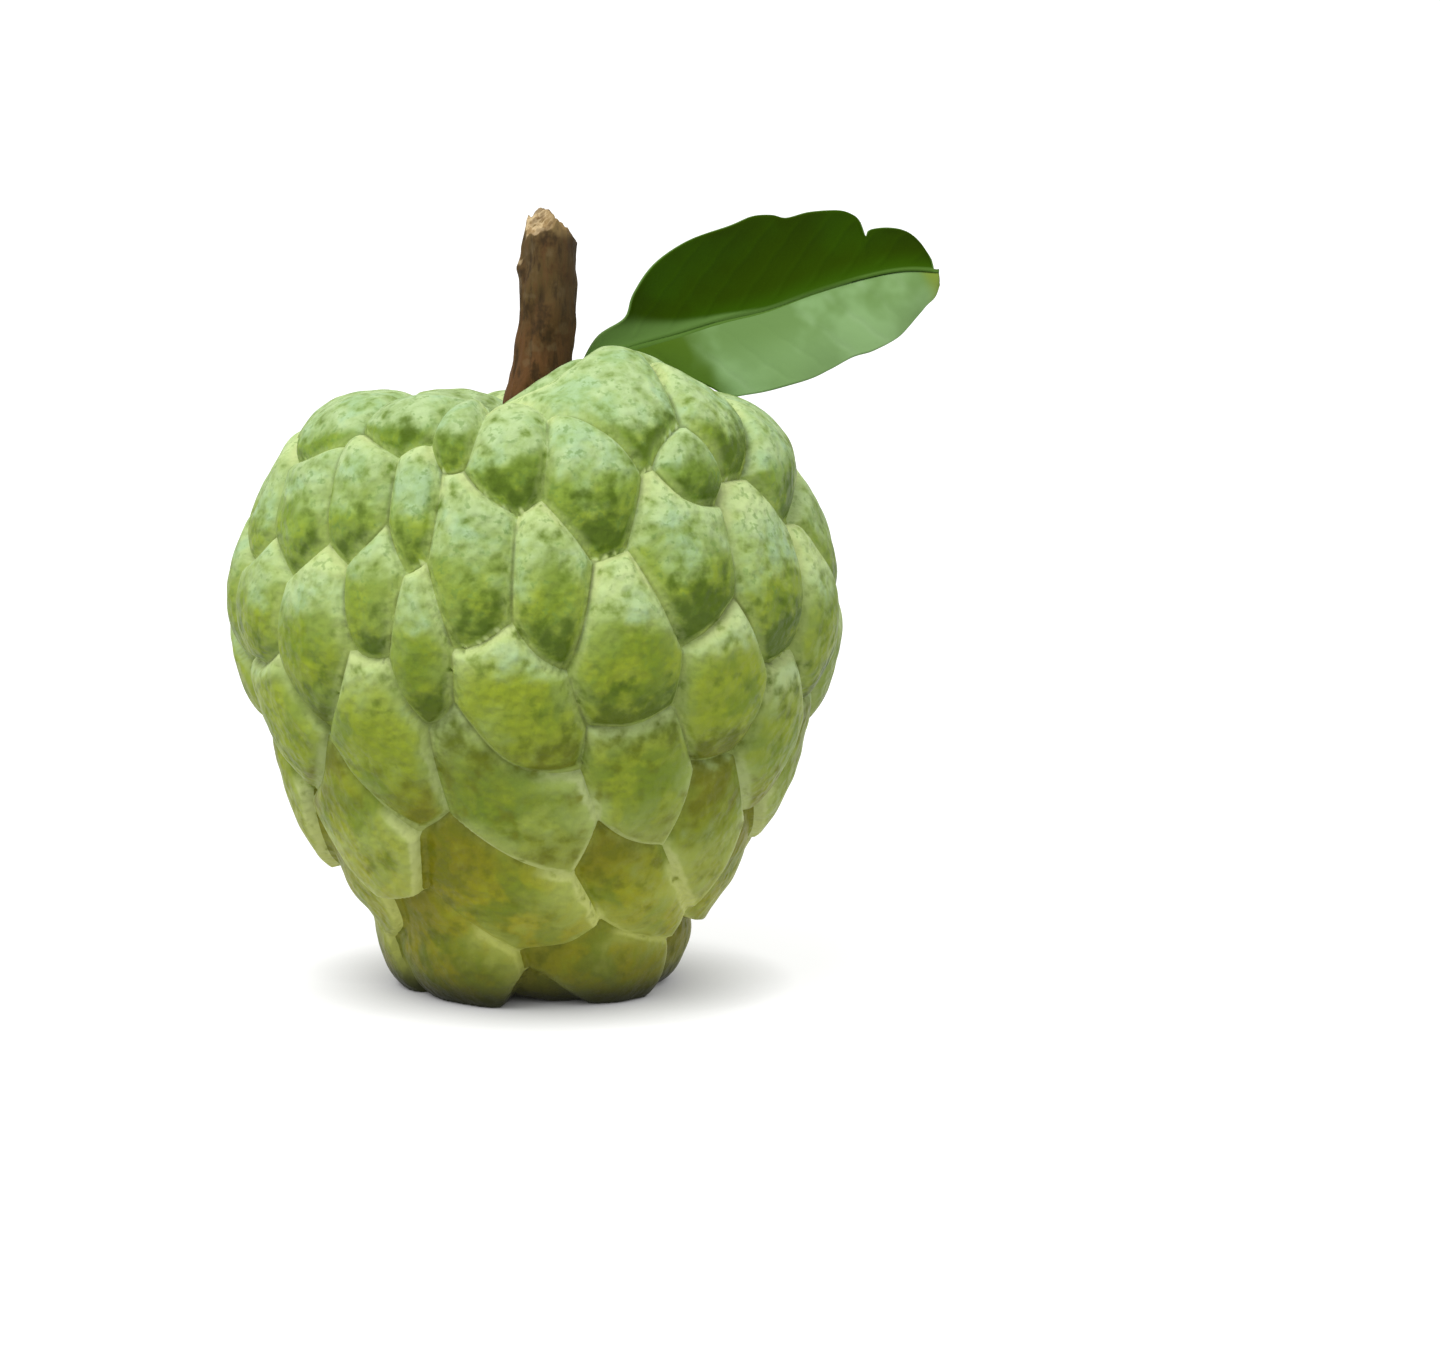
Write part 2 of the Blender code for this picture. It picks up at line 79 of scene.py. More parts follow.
def smooth_line(points: Points | np.ndarray, steps: int, closed_by: Points | None = None) -> np.ndarray:
    """Draws a smooth line through points.

    Args:
        points: The points that it passes, in order.
        steps: How many steps each span gets.
        closed_by: The point before the first and the one after the last, which steer the ends. Without
            them the line runs straight on.

    Returns:
        The line's points, one a row.
    """
    points = np.array(points, float)
    before, after = closed_by or (2 * points[0] - points[1], 2 * points[-1] - points[-2])
    points = np.array([before, *points, after])
    share = (np.arange(steps) / steps)[:, None]
    spans = [
        0.5 * (2 * b + (c - a) * share + (2 * a - 5 * b + 4 * c - d) * share**2
               + (3 * b - a - 3 * c + d) * share**3)
        for a, b, c, d in zip(points, points[1:], points[2:], points[3:])
    ]
    return np.concatenate([*spans, points[-2:-1]])


def grain(points: np.ndarray, size: float, seed: float, depth: int = 1) -> np.ndarray:
    """Smooth random values over places in space.

    Args:
        points: The places in metres, one a row.
        size: How wide one swell of the pattern is, in metres.
        seed: Shifts the pattern, so that two don't match.
        depth: How many finer patterns lie over the first.

    Returns:
        A value from about -1 to 1 for each place.
    """
    moved = points / size + seed * np.array([1.7, 3.1, 5.3])
    return np.array([noise.fractal(Vector(place), 1.0, 2.0, depth) for place in moved]) * 1.4


def store(mesh: bpy.types.Mesh, name: str, values: np.ndarray) -> None:
    """Keeps one number a vertex on the mesh, for its material to read."""
    layer = mesh.attributes.new(name, "FLOAT", "POINT")
    layer.data.foreach_set("value", np.ascontiguousarray(values, dtype=np.float32))


def store_by_side(mesh: bpy.types.Mesh, name: str, values: np.ndarray, on_border: np.ndarray) -> None:
    """Keeps one number a face corner, so that it may jump at a border between lobes.

    Args:
        mesh: A mesh of triangles, with vertices along every border.
        name: What the material reads it by.
        values: A number for each vertex.
        on_border: Which vertices lie on a border. Each triangle there goes by its other corners.
    """
    faces = np.empty(len(mesh.loops), np.int32)
    mesh.loops.foreach_get("vertex_index", faces)
    faces = faces.reshape(-1, 3)
    inner = ~on_border[faces]
    total = (values[faces] * inner).sum(axis=1)
    count = inner.sum(axis=1)
    mean = np.where(count > 0, total / np.maximum(count, 1), values[faces].mean(axis=1))
    corners = np.where(inner, values[faces], mean[:, None])
    layer = mesh.attributes.new(name, "FLOAT", "CORNER")
    layer.data.foreach_set("value", np.ascontiguousarray(corners.ravel(), dtype=np.float32))


def places_and_normals(mesh: bpy.types.Mesh) -> tuple[np.ndarray, np.ndarray]:
    """Reads where a mesh's vertices are and which way they face.

    Args:
        mesh: A finished mesh.

    Returns:
        The vertices' places and the outward directions there, one a row.
    """
    places, normals = np.empty((2, len(mesh.vertices) * 3))
    mesh.vertices.foreach_get("co", places)
    mesh.vertex_normals.foreach_get("vector", normals)
    return places.reshape(-1, 3), normals.reshape(-1, 3)


def move_vertices(shape: bmesh.types.BMesh, places: np.ndarray) -> None:
    """Puts a form's vertices at new places, one a row."""
    for vert, place in zip(shape.verts, places):
        vert.co = place


def in_scene(name: str, shape: bmesh.types.BMesh) -> bpy.types.Object:
    """Makes an object of a form and links it to the scene.

    Args:
        name: The object's name, and its mesh's.
        shape: Its form, which is freed here.

    Returns:
        The new object.
    """
    mesh = bpy.data.meshes.new(name)
    shape.to_mesh(mesh)
    shape.free()
    piece = bpy.data.objects.new(name, mesh)
    bpy.context.scene.collection.objects.link(piece)
    return piece


def finished(name: str, shape: bmesh.types.BMesh, node: str) -> bpy.types.Object:
    """Makes a piece from its bmesh and puts it in place of its solid.

    Args:
        name: The piece's name.
        shape: Its form, which is freed here.
        node: The solid that it stands for.

    Returns:
        The new object, riding on the part's one body.
    """
    piece = in_scene(name, shape)
    piece.data.shade_smooth()
    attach(piece, "root")
    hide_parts(node)
    return piece


def feed(tree: bpy.types.NodeTree, node: bpy.types.Node, inputs: dict) -> None:
    """Sets some of a node's sockets.

    Args:
        tree: The node tree that it is in.
        node: The node.
        inputs: Its sockets, by name or number, each with a value or the output that feeds it.
    """
    for socket, value in inputs.items():
        if isinstance(value, bpy.types.NodeSocket):
            tree.links.new(value, node.inputs[socket])
        else:
            node.inputs[socket].default_value = value


def add_node(tree: bpy.types.NodeTree, kind: str, settings: dict | None = None,
             inputs: dict | None = None) -> bpy.types.Node:
    """Adds a shader node with its settings and links.

    Args:
        tree: The material's node tree.
        kind: The node's type name.
        settings: Its properties.
        inputs: Its sockets, by name or number, each with a value or the output that feeds it.

    Returns:
        The new node.
    """
    made = tree.nodes.new(kind)
    for name, value in (settings or {}).items():
        setattr(made, name, value)
    feed(tree, made, inputs or {})
    return made


def start_material(name: str, reads: tuple[str, ...] = ()) -> tuple:
    """Starts a material.

    Args:
        name: What it is called.
        reads: The mesh's attributes that it reads.

    Returns:
        The material, its node tree, its shader and a list of sockets, one for each attribute.
    """
    material = bpy.data.materials.new(name)
    material.use_nodes = True
    tree = material.node_tree
    numbers = [
        add_node(tree, "ShaderNodeAttribute", {"attribute_name": read}).outputs["Fac"] for read in reads
    ]
    return material, tree, tree.nodes["Principled BSDF"], numbers


def layered(tree: bpy.types.NodeTree, ground: bpy.types.NodeSocket | tuple,
            layers: list[tuple]) -> bpy.types.NodeSocket:
    """Lays colours over a ground, one after another.

    Args:
        tree: The material's node tree.
        ground: The first colour, as a linear one or a colour socket.
        layers: For each, its sRGB hex colour or colour socket, the most that it covers as a share, and
            its ramps. A ramp is a value's socket with where on it the layer starts and where it is full.

    Returns:
        The colour that results.
    """
    for colour, most, *ramps in layers:
        share = most
        for value, start, full in ramps:
            low, high = (0.0, share) if start < full else (share, 0.0)
            share = add_node(tree, "ShaderNodeMapRange", {"interpolation_type": "SMOOTHSTEP"}, {
                "Value": value, "From Min": min(start, full), "From Max": max(start, full),
                "To Min": low, "To Max": high}).outputs["Result"]
        top = linear(colour) if isinstance(colour, str) else colour
        inputs = {"Factor": share, 6: ground, 7: top}
        ground = add_node(tree, "ShaderNodeMix", {"data_type": "RGBA"}, inputs).outputs[2]
    return ground


@dataclass
class Body:
    """The fruit's smooth form at groove level: a turned outline with a swelling on its crown."""

    # Radius and height in mm, from the base up to the crown
    outline: Points = field(default_factory=lambda: [
        (0.0, 2.9), (9.0, 2.7), (14.2, 2.9), (16.6, 6.0), (18.4, 11.0), (22.9, 16.6), (27.3, 24.0),
        (31.1, 31.8), (34.4, 39.0), (36.2, 46.0), (36.4, 51.5), (34.8, 58.0), (32.2, 64.0),
        (29.4, 69.7), (24.4, 73.1), (18.2, 73.9), (12.6, 72.6), (7.4, 69.2), (0.0, 67.6),
    ])
    steps_per_span: int = 24
    swell_x: float = 10.0 * MM
    swell_y: float = -10.0 * MM
    swell_spread: float = 6.8 * MM
    swell_height: float = 7.9 * MM
    swell_from: float = 55.0 * MM
    swell_full: float = 75.0 * MM
    crown_slope: float = 0.11

    def __post_init__(self) -> None:
        """Measures the outline: its radius, height, slope and area against the distance along it."""
        knots = np.array(self.outline)
        mirror = np.array([-1.0, 1.0])
        steered = (knots[1] * mirror, knots[-2] * mirror)
        line = smooth_line(knots, self.steps_per_span, steered) * MM
        self.radius = np.maximum(line[:, 0], 0.0)
        self.height = line[:, 1]
        steps = np.hypot(*np.diff(line, axis=0).T)
        self.along = np.concatenate([[0.0], np.cumsum(steps)])
        self.slope_r = np.gradient(self.radius, self.along)
        self.slope_z = np.gradient(self.height, self.along)
        rings = steps * math.pi * (self.radius[1:] + self.radius[:-1])
        self.area = np.concatenate([[0.0], np.cumsum(rings)])
        self.length = self.along[-1]

    def place(self, turn: np.ndarray, along: np.ndarray) -> tuple[np.ndarray, ...]:
        """Finds points on the body.

        Args:
            turn: Angles from the front towards +X.
            along: Distances up the outline.

        Returns:
            The points, with their outward, downward and eastward directions.
        """
        measures = (self.radius, self.height, self.slope_r, self.slope_z)
        radius, height, slope_r, slope_z = (np.interp(along, self.along, line) for line in measures)
        norm = np.hypot(slope_r, slope_z)
        slope_r, slope_z = slope_r / norm, slope_z / norm
        sine, cosine = np.sin(turn), np.cos(turn)
        x, y = radius * sine, -radius * cosine
        off = ((x - self.swell_x) ** 2 + (y - self.swell_y) ** 2) / (2 * self.swell_spread**2)
        swell = self.swell_height * np.exp(-off) - self.crown_slope * y
        height = height + swell * smoothstep(self.swell_from, self.swell_full, height)
        point = np.stack([x, y, height], axis=-1)
        outward = np.stack([slope_z * sine, -slope_z * cosine, -slope_r], axis=-1)
        down = np.stack([-slope_r * sine, slope_r * cosine, -slope_z], axis=-1)
        east = np.stack([cosine, sine, np.zeros_like(turn)], axis=-1)
        return point, outward, down, east


@dataclass
class Ground:
    """What the lobes say about places on the body, one value a place."""

    height: np.ndarray
    from_edge: np.ndarray
    lengthways: np.ndarray
    owner: np.ndarray


@dataclass
class Lobes:
    """The lobes' places and sizes, and the relief that they raise."""

    body: Body
    # Each lobe's turn from the front in degrees, distance up the outline, half width and half length in
    # mm, and lean in degrees: the ones in front, and the one under the base
    front: Points = field(default_factory=lambda: [
        (-11.5, 78.0, 5.6, 12.0, 5), (4, 75.5, 4.8, 9.6, 3), (-5, 89.5, 5.5, 8.2, 3),
        (13.5, 87.0, 5.8, 9.6, 4), (25, 96.5, 8.4, 10.6, 28), (54, 93.0, 7.2, 7.5, 15),
        (39, 87.0, 4.5, 6.0, 3), (73, 88.0, 7.0, 7.5, 20), (-32, 74.5, 4.3, 9.6, 0),
        (-21, 68.0, 3.8, 11.6, 5), (-46, 67.5, 6.5, 11.6, -1), (-3.5, 60.5, 6.0, 12.0, 22),
        (-33.5, 55.5, 6.7, 12.8, 10), (-5, 48.0, 7.2, 13.0, 33), (-48, 42.5, 8.2, 11.0, 16),
        (-8.5, 31.5, 7.9, 13.0, 47), (-36, 22.5, 8.5, 9.8, 32), (19, 21.5, 6.8, 10.8, 50),
        (-68, 70.5, 6.6, 9.5, 8), (-63, 55.5, 7.4, 10.5, 10), (-57.5, 83.0, 6.5, 9.0, 12),
        (-40, 84.0, 5.6, 8.5, 8), (-26, 83.0, 3.5, 8.4, 8), (-18, 92.0, 3.2, 6.0, 8),
        (-36, 95.0, 6.0, 6.5, 18), (-65, 94.0, 7.0, 8.0, 18), (28, 33.0, 5.5, 12.0, 35),
        (-75, 81.0, 5.5, 8.5, 12),
    ])
    base: tuple[float, ...] = (0, 0, 7.0, 7.0, 0)
    lean_at_base: float = math.radians(40)
    lean_up_to: float = 80 * MM
    all_round: int = 84
    golden_angle: float = math.radians(137.508)
    spiral_start: float = math.radians(280)
    up_to: float = 111.5 * MM
    half_width: float = 6.1 * MM
    half_length: float = 10.6 * MM
    crown_shortening: float = 0.72
    crown_from: float = 0.72
    crown_full: float = 0.9
    room: float = 1.25
    settling_rounds: int = 3
    settling_points: int = 5000
    settling_past: float = 3 * MM
    smallest_ring: float = 5 * MM
    drift: float = 0.9 * MM
    seed: int = 7
    mean_rise: float = 3.4 * MM
    rise_spread: float = 0.10
    high_tilt: float = 0.3 * MM
    low_tilt: float = 1.8 * MM
    high_fall: float = 0.32
    low_fall: float = 0.22
    nose_from: float = 0.30
    nose_drop: float = 1.2 * MM
    low_from: float = 62 * MM
    low_full: float = 40 * MM
    squareness: float = 4.0
    overlap: float = 0.5
    step_sharpness: float = 9.0
    neighbours: int = 5
    tie: float = 0.02
    high_edge_drop: float = 1.5 * MM
    low_edge_drop: float = 0.6 * MM
    edge_rounding: float = 2.0 * MM
    groove_rounding: float = 0.2 * MM

    def __post_init__(self) -> None:
        """Sets the given lobes, adds the spiral's between them and lets those settle."""
        given = np.array([self.base, *self.front], float)
        self.turn = np.radians(given[:, 0])
        self.along = given[:, 1] * MM
        self.width = given[:, 2] * MM
        self.length = given[:, 3] * MM
        self.lean = np.radians(given[:, 4])
        self.fixed = len(given)
        self.add_spiral()
        self.settle()
        draw = np.random.default_rng(self.seed)
        self.along[self.fixed:] += self.drift * draw.uniform(-1, 1, len(self.along) - self.fixed)
        self.rise = self.mean_rise * (1 + self.rise_spread * draw.uniform(-1, 1, len(self.along)))
        self.tone = draw.uniform(0, 1, len(self.along))
        self.low = 1 - smoothstep(self.low_full, self.low_from, self.along)
        self.fall = self.high_fall + (self.low_fall - self.high_fall) * self.low
        self.tilt = self.high_tilt + (self.low_tilt - self.high_tilt) * self.low
        self.nose = self.nose_drop * (1 - self.low)
        self.drop = self.high_edge_drop + (self.low_edge_drop - self.high_edge_drop) * self.low
        self.find_frames()

    def find_frames(self) -> None:
        """Finds each lobe's middle on the body, and the directions there."""
        self.centre, self.outward, self.down, self.east = self.body.place(self.turn, self.along)

    def spread(self, count: int, up_to: float) -> tuple[np.ndarray, np.ndarray]:
        """Spreads places evenly over the body on a golden spiral.

        Args:
            count: How many places.
            up_to: The distance up the outline at which they end.

        Returns:
            Their turns, and their distances up the outline.
        """
        number = np.arange(count)
        share = (number + 0.5) / count
        area = np.interp(up_to, self.body.along, self.body.area)
        return self.golden_angle * number, np.interp(area * share, self.body.area, self.body.along)

    def add_spiral(self) -> None:
        """Adds the spiral's lobes wherever the given ones leave room."""
        self.find_frames()
        turn, along = self.spread(self.all_round, self.up_to)
        turn = self.spiral_start - turn
        free = self.reach(self.body.place(turn, along)[0])[0].min(axis=1) > self.room
        turn, along = turn[free], along[free]
        crown = smoothstep(self.crown_from, self.crown_full, along / self.body.length)
        shorter = 1 - (1 - self.crown_shortening) * crown
        self.turn = np.append(self.turn, turn)
        self.along = np.append(self.along, along)
        self.width = np.append(self.width, np.full(len(turn), self.half_width))
        self.length = np.append(self.length, self.half_length * shorter)
        self.lean = np.append(self.lean, self.lean_at_base * np.clip(1 - along / self.lean_up_to, 0, 1))

    def settle(self) -> None:
        """Moves each free lobe to the middle of the ground that is nearest to it, a few times over."""
        ground = self.body.place(*self.spread(self.settling_points, self.up_to + self.settling_past))[0]
        for _ in range(self.settling_rounds):
            self.find_frames()
            owner = self.reach(ground)[0].argmin(axis=1)
            for lobe in range(self.fixed, len(self.turn)):
                own = ground[owner == lobe] - self.centre[lobe]
                if len(own):
                    middle = own.mean(axis=0)
                    radius = np.interp(self.along[lobe], self.body.along, self.body.radius)
                    self.turn[lobe] += middle @ self.east[lobe] / max(radius, self.smallest_ring)
                    self.along[lobe] -= middle @ self.down[lobe]

    def reach(self, points: np.ndarray) -> tuple[np.ndarray, ...]:
        """Measures places against every lobe.

        Args:
            points: Places on the body, one a row.

        Returns:
            How far each place is from each lobe's middle, where 1 is at its edge; how far down its
            length; and the ways in which the two grow.
        """
        cosine, sine = np.cos(self.lean)[:, None], np.sin(self.lean)[:, None]
        aside = (self.east * cosine - self.down * sine) / self.width[:, None]
        onward = (self.east * sine + self.down * cosine) / self.length[:, None]
        outward = self.outward / self.width[:, None]
        offset = points[:, None, :] - self.centre[None, :, :]
        sideways = np.einsum("pli,li->pl", offset, aside)
        lengthways = np.einsum("pli,li->pl", offset, onward)
        outwards = np.einsum("pli,li->pl", offset, outward)
        reach = np.sqrt(sideways**2 + lengthways**2 + outwards**2) + 1e-9
        growth = (sideways[..., None] * aside + lengthways[..., None] * onward) / reach[..., None]
        return reach, lengthways, growth, onward

    def scores(self, points: np.ndarray) -> tuple[np.ndarray, ...]:
        """Scores places for every lobe: the least score owns the place.

        Args:
            points: Places on the body, one a row.

        Returns:
            The scores, the ways in which they grow, the reach and the distance down each lobe.
        """
        reach, lengthways, growth, onward = self.reach(points)
        power = self.squareness
        score = reach**power - self.overlap * lengthways
        growth = power * reach[..., None] ** (power - 1) * growth - self.overlap * onward
        return score, growth, reach, lengthways

    def ground(self, points: np.ndarray) -> Ground:
        """The relief at places on the body, and what their material needs.

        Args:
            points: Places on the body, one a row.

        Returns:
            The height over the body, the distance to the nearest border, the distance down the lobe
            that owns the place, from -1 to 1, and that lobe's number.
        """
        score, growth, reach, lengthways = self.scores(points)
        row = np.arange(len(points))[:, None]
        near = np.argsort(score, axis=1)[:, :self.neighbours]
        level = score[row, near[:, 1:2]] - score[row, near[:, :1]] < self.tie
        higher = self.along[near[:, 1:2]] > self.along[near[:, :1]]
        near[:, :2] = np.where(level & higher, near[:, 1::-1], near[:, :2])
        own, others = near[:, :1], near[:, 1:]
        lead = np.abs(score[row, others] - score[row, own])
        spread = np.linalg.norm(growth[row, others] - growth[row, own], axis=2)
        from_edge = (lead / np.maximum(spread, 1e-6)).min(axis=1)
        share = np.exp(-self.step_sharpness * (score - score[row, own]))
        share /= share.sum(axis=1, keepdims=True)
        form = self.rise * (1 - self.fall * np.minimum(reach, 1.4) ** 2)
        form = form + self.tilt * np.clip(lengthways, -1.3, 1.3)
        form = form - self.nose * np.clip((lengthways - self.nose_from) / (1 - self.nose_from), 0, 1.2) ** 2
        edge = 1 - np.clip(np.hypot(from_edge, self.groove_rounding) / self.edge_rounding, 0, 1)
        height = (share * (form - self.drop * edge[:, None] ** 2.5)).sum(axis=1)
        return Ground(height, from_edge, lengthways[row, own][:, 0], own[:, 0])


def in_batches(method: Callable, points: np.ndarray, size: int = 8192) -> list:
    """Calls a method on places a batch at a time, to spare memory."""
    return [method(points[start:start + size]) for start in range(0, len(points), size)]


@dataclass(frozen=True)
class FruitSkin:
    """Custard apple skin, grown: matt, pebbled and waxy, with a pale bloom that is partly painted top
    light, laid most where the skin faces up; painted olive shade on the lobes' undersides, under their
    ledges and in the grooves; a painted contact shadow that darkens the foot; and corky yellow-green
    sutures between the lobes, partly a painted highlight along the ledge crests."""

    crown: str = "#88a63e"
    middle: str = "#92a428"
    foot: str = "#a9a30e"
    fresh: str = "#a6b82e"
    dull: str = "#678320"
    # Pale waxy bloom, partly painted top light: it is laid most where the skin faces up
    bloom_and_top_light: str = "#bcd49c"
    glaucous: str = "#a8c99b"
    tip: str = "#c9dc98"
    freckle: str = "#6c8f42"
    shade: str = "#4a6306"
    shade_low: str = "#767800"
    # Painted contact shadow: the foot darkens towards the floor, then nearly to black at the very bottom
    ground: str = "#3c400a"
    contact_shadow: str = "#101204"
    # Mustard olive of the painted shade under the low lobes' ledges
    mustard_shade: str = "#8a8400"
    rim_high: str = "#b5ca70"
    rim_low: str = "#c3cd5e"
    # Pale suture colours, partly a painted highlight along the ledge crests
    suture_and_highlight_high: str = "#c8d692"
    suture_and_highlight_low: str = "#dce27a"
    # Painted shade in the bottoms of the grooves
    groove: str = "#4a5616"
    scuff: str = "#8a6f3a"
    pebble: float = 1.3 * MM
    mottle: float = 2.4 * MM
    stipple: float = 1.0 * MM

    def material(self) -> bpy.types.Material:
        """Builds the skin's material from the mesh's own numbers and small patterns in millimetres.

        Returns:
            The material.
        """
        material, tree, shader, numbers = start_material(
            "custard_apple_skin",
            ("from_edge", "crest_suture_and_highlight", "tip", "tone", "bloom_and_top_light", "underside", "height", "scuff"))
        edge, crest_suture_and_highlight, tip, tone, bloom_and_top_light, underside, height, scuff = numbers
        place = add_node(tree, "ShaderNodeTexCoord").outputs["Object"]
        mottle, patch, stipple = (
            add_node(tree, "ShaderNodeTexNoise", None, {
                "Vector": place, "Scale": scale, "Detail": detail, "Roughness": roughness,
                "Distortion": distortion}).outputs["Fac"]
            for scale, detail, roughness, distortion in (
                (1 / self.mottle, 4.0, 0.5, 0.0), (0.4 / self.mottle, 3.0, 0.55, 0.4),
                (1 / self.stipple, 2.0, 0.6, 0.0))
        )
        pebble = add_node(tree, "ShaderNodeTexVoronoi", {"feature": "SMOOTH_F1"}, {
            "Vector": place, "Scale": 1 / self.pebble, "Smoothness": 0.6}).outputs["Distance"]
        cloudy, ragged, uneven, grain_height = (
            add_node(tree, "ShaderNodeMath", {"operation": "MULTIPLY_ADD"}, {
                0: pattern, 1: by, 2: onto}).outputs[0]
            for pattern, by, onto in (
                (patch, 1.6, bloom_and_top_light), (mottle, -2.6, underside), (mottle, 1.6, edge), (mottle, 1.4, pebble))
        )
        wavering = add_node(tree, "ShaderNodeMath", {"operation": "MULTIPLY_ADD"}, {
            0: patch, 1: 5.0, 2: uneven}).outputs[0]
        low = (height, 34 * MM, 8 * MM)
        high = (height, 45 * MM, 72 * MM)
        shade = layered(tree, linear(self.shade), [(self.shade_low, 1.0, (height, 46 * MM, 28 * MM))])
        rim = layered(tree, linear(self.rim_high), [(self.rim_low, 1.0, low)])
        suture_and_highlight = layered(tree, linear(self.suture_and_highlight_high), [(self.suture_and_highlight_low, 1.0, low)])
        bloom_and_top_light_colour = layered(tree, linear(self.bloom_and_top_light), [(self.glaucous, 0.8, (patch, 0.46, 0.62))])
        colour = layered(tree, linear(self.middle), [
            (self.crown, 1.0, high),
            (self.foot, 1.0, low),
            (self.fresh, 0.3, (tone, 0.45, 1.0)),
            (self.dull, 0.3, (tone, 0.5, 0.0)),
            (self.fresh, 0.4, (mottle, 0.50, 0.70)),
            (self.dull, 0.6, (patch, 0.54, 0.38)),
            (self.dull, 0.3, (mottle, 0.48, 0.34)),
            (self.dull, 0.12, (pebble, 0.42, 0.72)),
            # Bloom, partly painted top light: paler where the skin faces up and at the lobes' upper ends
            (bloom_and_top_light_colour, 0.9, (cloudy, 0.85, 1.75), (mottle, 0.15, 0.66)),
            # Pale rims at the lobes' ledges in these two layers: part pale suture tissue, part painted
            # highlight on the crests
            (rim, 0.5, (crest_suture_and_highlight, 0.45, 1.0), (mottle, 0.30, 0.62), (height, 66 * MM, 50 * MM),
             (height, 4 * MM, 20 * MM)),
            (rim, 0.85, (wavering, 6.0, 3.6), (crest_suture_and_highlight, 0.0, 0.7), (height, 80 * MM, 55 * MM)),
            (self.tip, 0.85, (tip, 0.0, 1.0), (mottle, 0.25, 0.62), (edge, 0.0, 0.7)),
            (self.freckle, 0.55, (stipple, 0.52, 0.68), (mottle, 0.40, 0.56), (height, 35 * MM, 65 * MM)),
            # Painted shade on the lobes' undersides and under their ledges, broken up by the mottle
            (shade, 0.84, (ragged, -1.18, -0.30)),
            # Painted shade in mustard olive, where the underside shade share is high on the lower fruit
            (self.mustard_shade, 0.75, (underside, 0.1, 0.8), (height, 42 * MM, 14 * MM), (mottle, 0.38, 0.56)),
            # Painted contact shadow: darker towards the bottom of the foot, nearly black in the last few
            # millimetres
            (self.ground, 0.75, (height, 13 * MM, 1 * MM)),
            (self.contact_shadow, 0.85, (height, 4.5 * MM, 0.5 * MM)),
            # Pale suture line at the very edge of each ledge, partly a painted highlight
            (suture_and_highlight, 0.9, (crest_suture_and_highlight, 0.0, 0.9), (uneven, 1.9, 1.3), (mottle, 0.26, 0.44),
             (height, 1 * MM, 14 * MM)),
            # Painted shade: a thin dark line in the grooves between the higher lobes
            (self.groove, 0.5, (edge, 0.40, 0.05), (patch, 0.40, 0.60), (height, 18 * MM, 45 * MM)),
            (self.scuff, 1.0, (scuff, 0.0, 1.0), (mottle, 0.40, 0.58)),
        ])
        rough = add_node(tree, "ShaderNodeMapRange", None, {
            "Value": bloom_and_top_light, "To Min": 0.46, "To Max": 0.66}).outputs["Result"]
        bump = add_node(tree, "ShaderNodeBump", None, {
            "Strength": 0.75, "Distance": 0.45 * MM, "Height": grain_height}).outputs["Normal"]
        feed(tree, shader, {"Base Color": colour, "Roughness": rough, "Normal": bump, "IOR": 1.42,
                            "Specular IOR Level": 0.2})
        return material


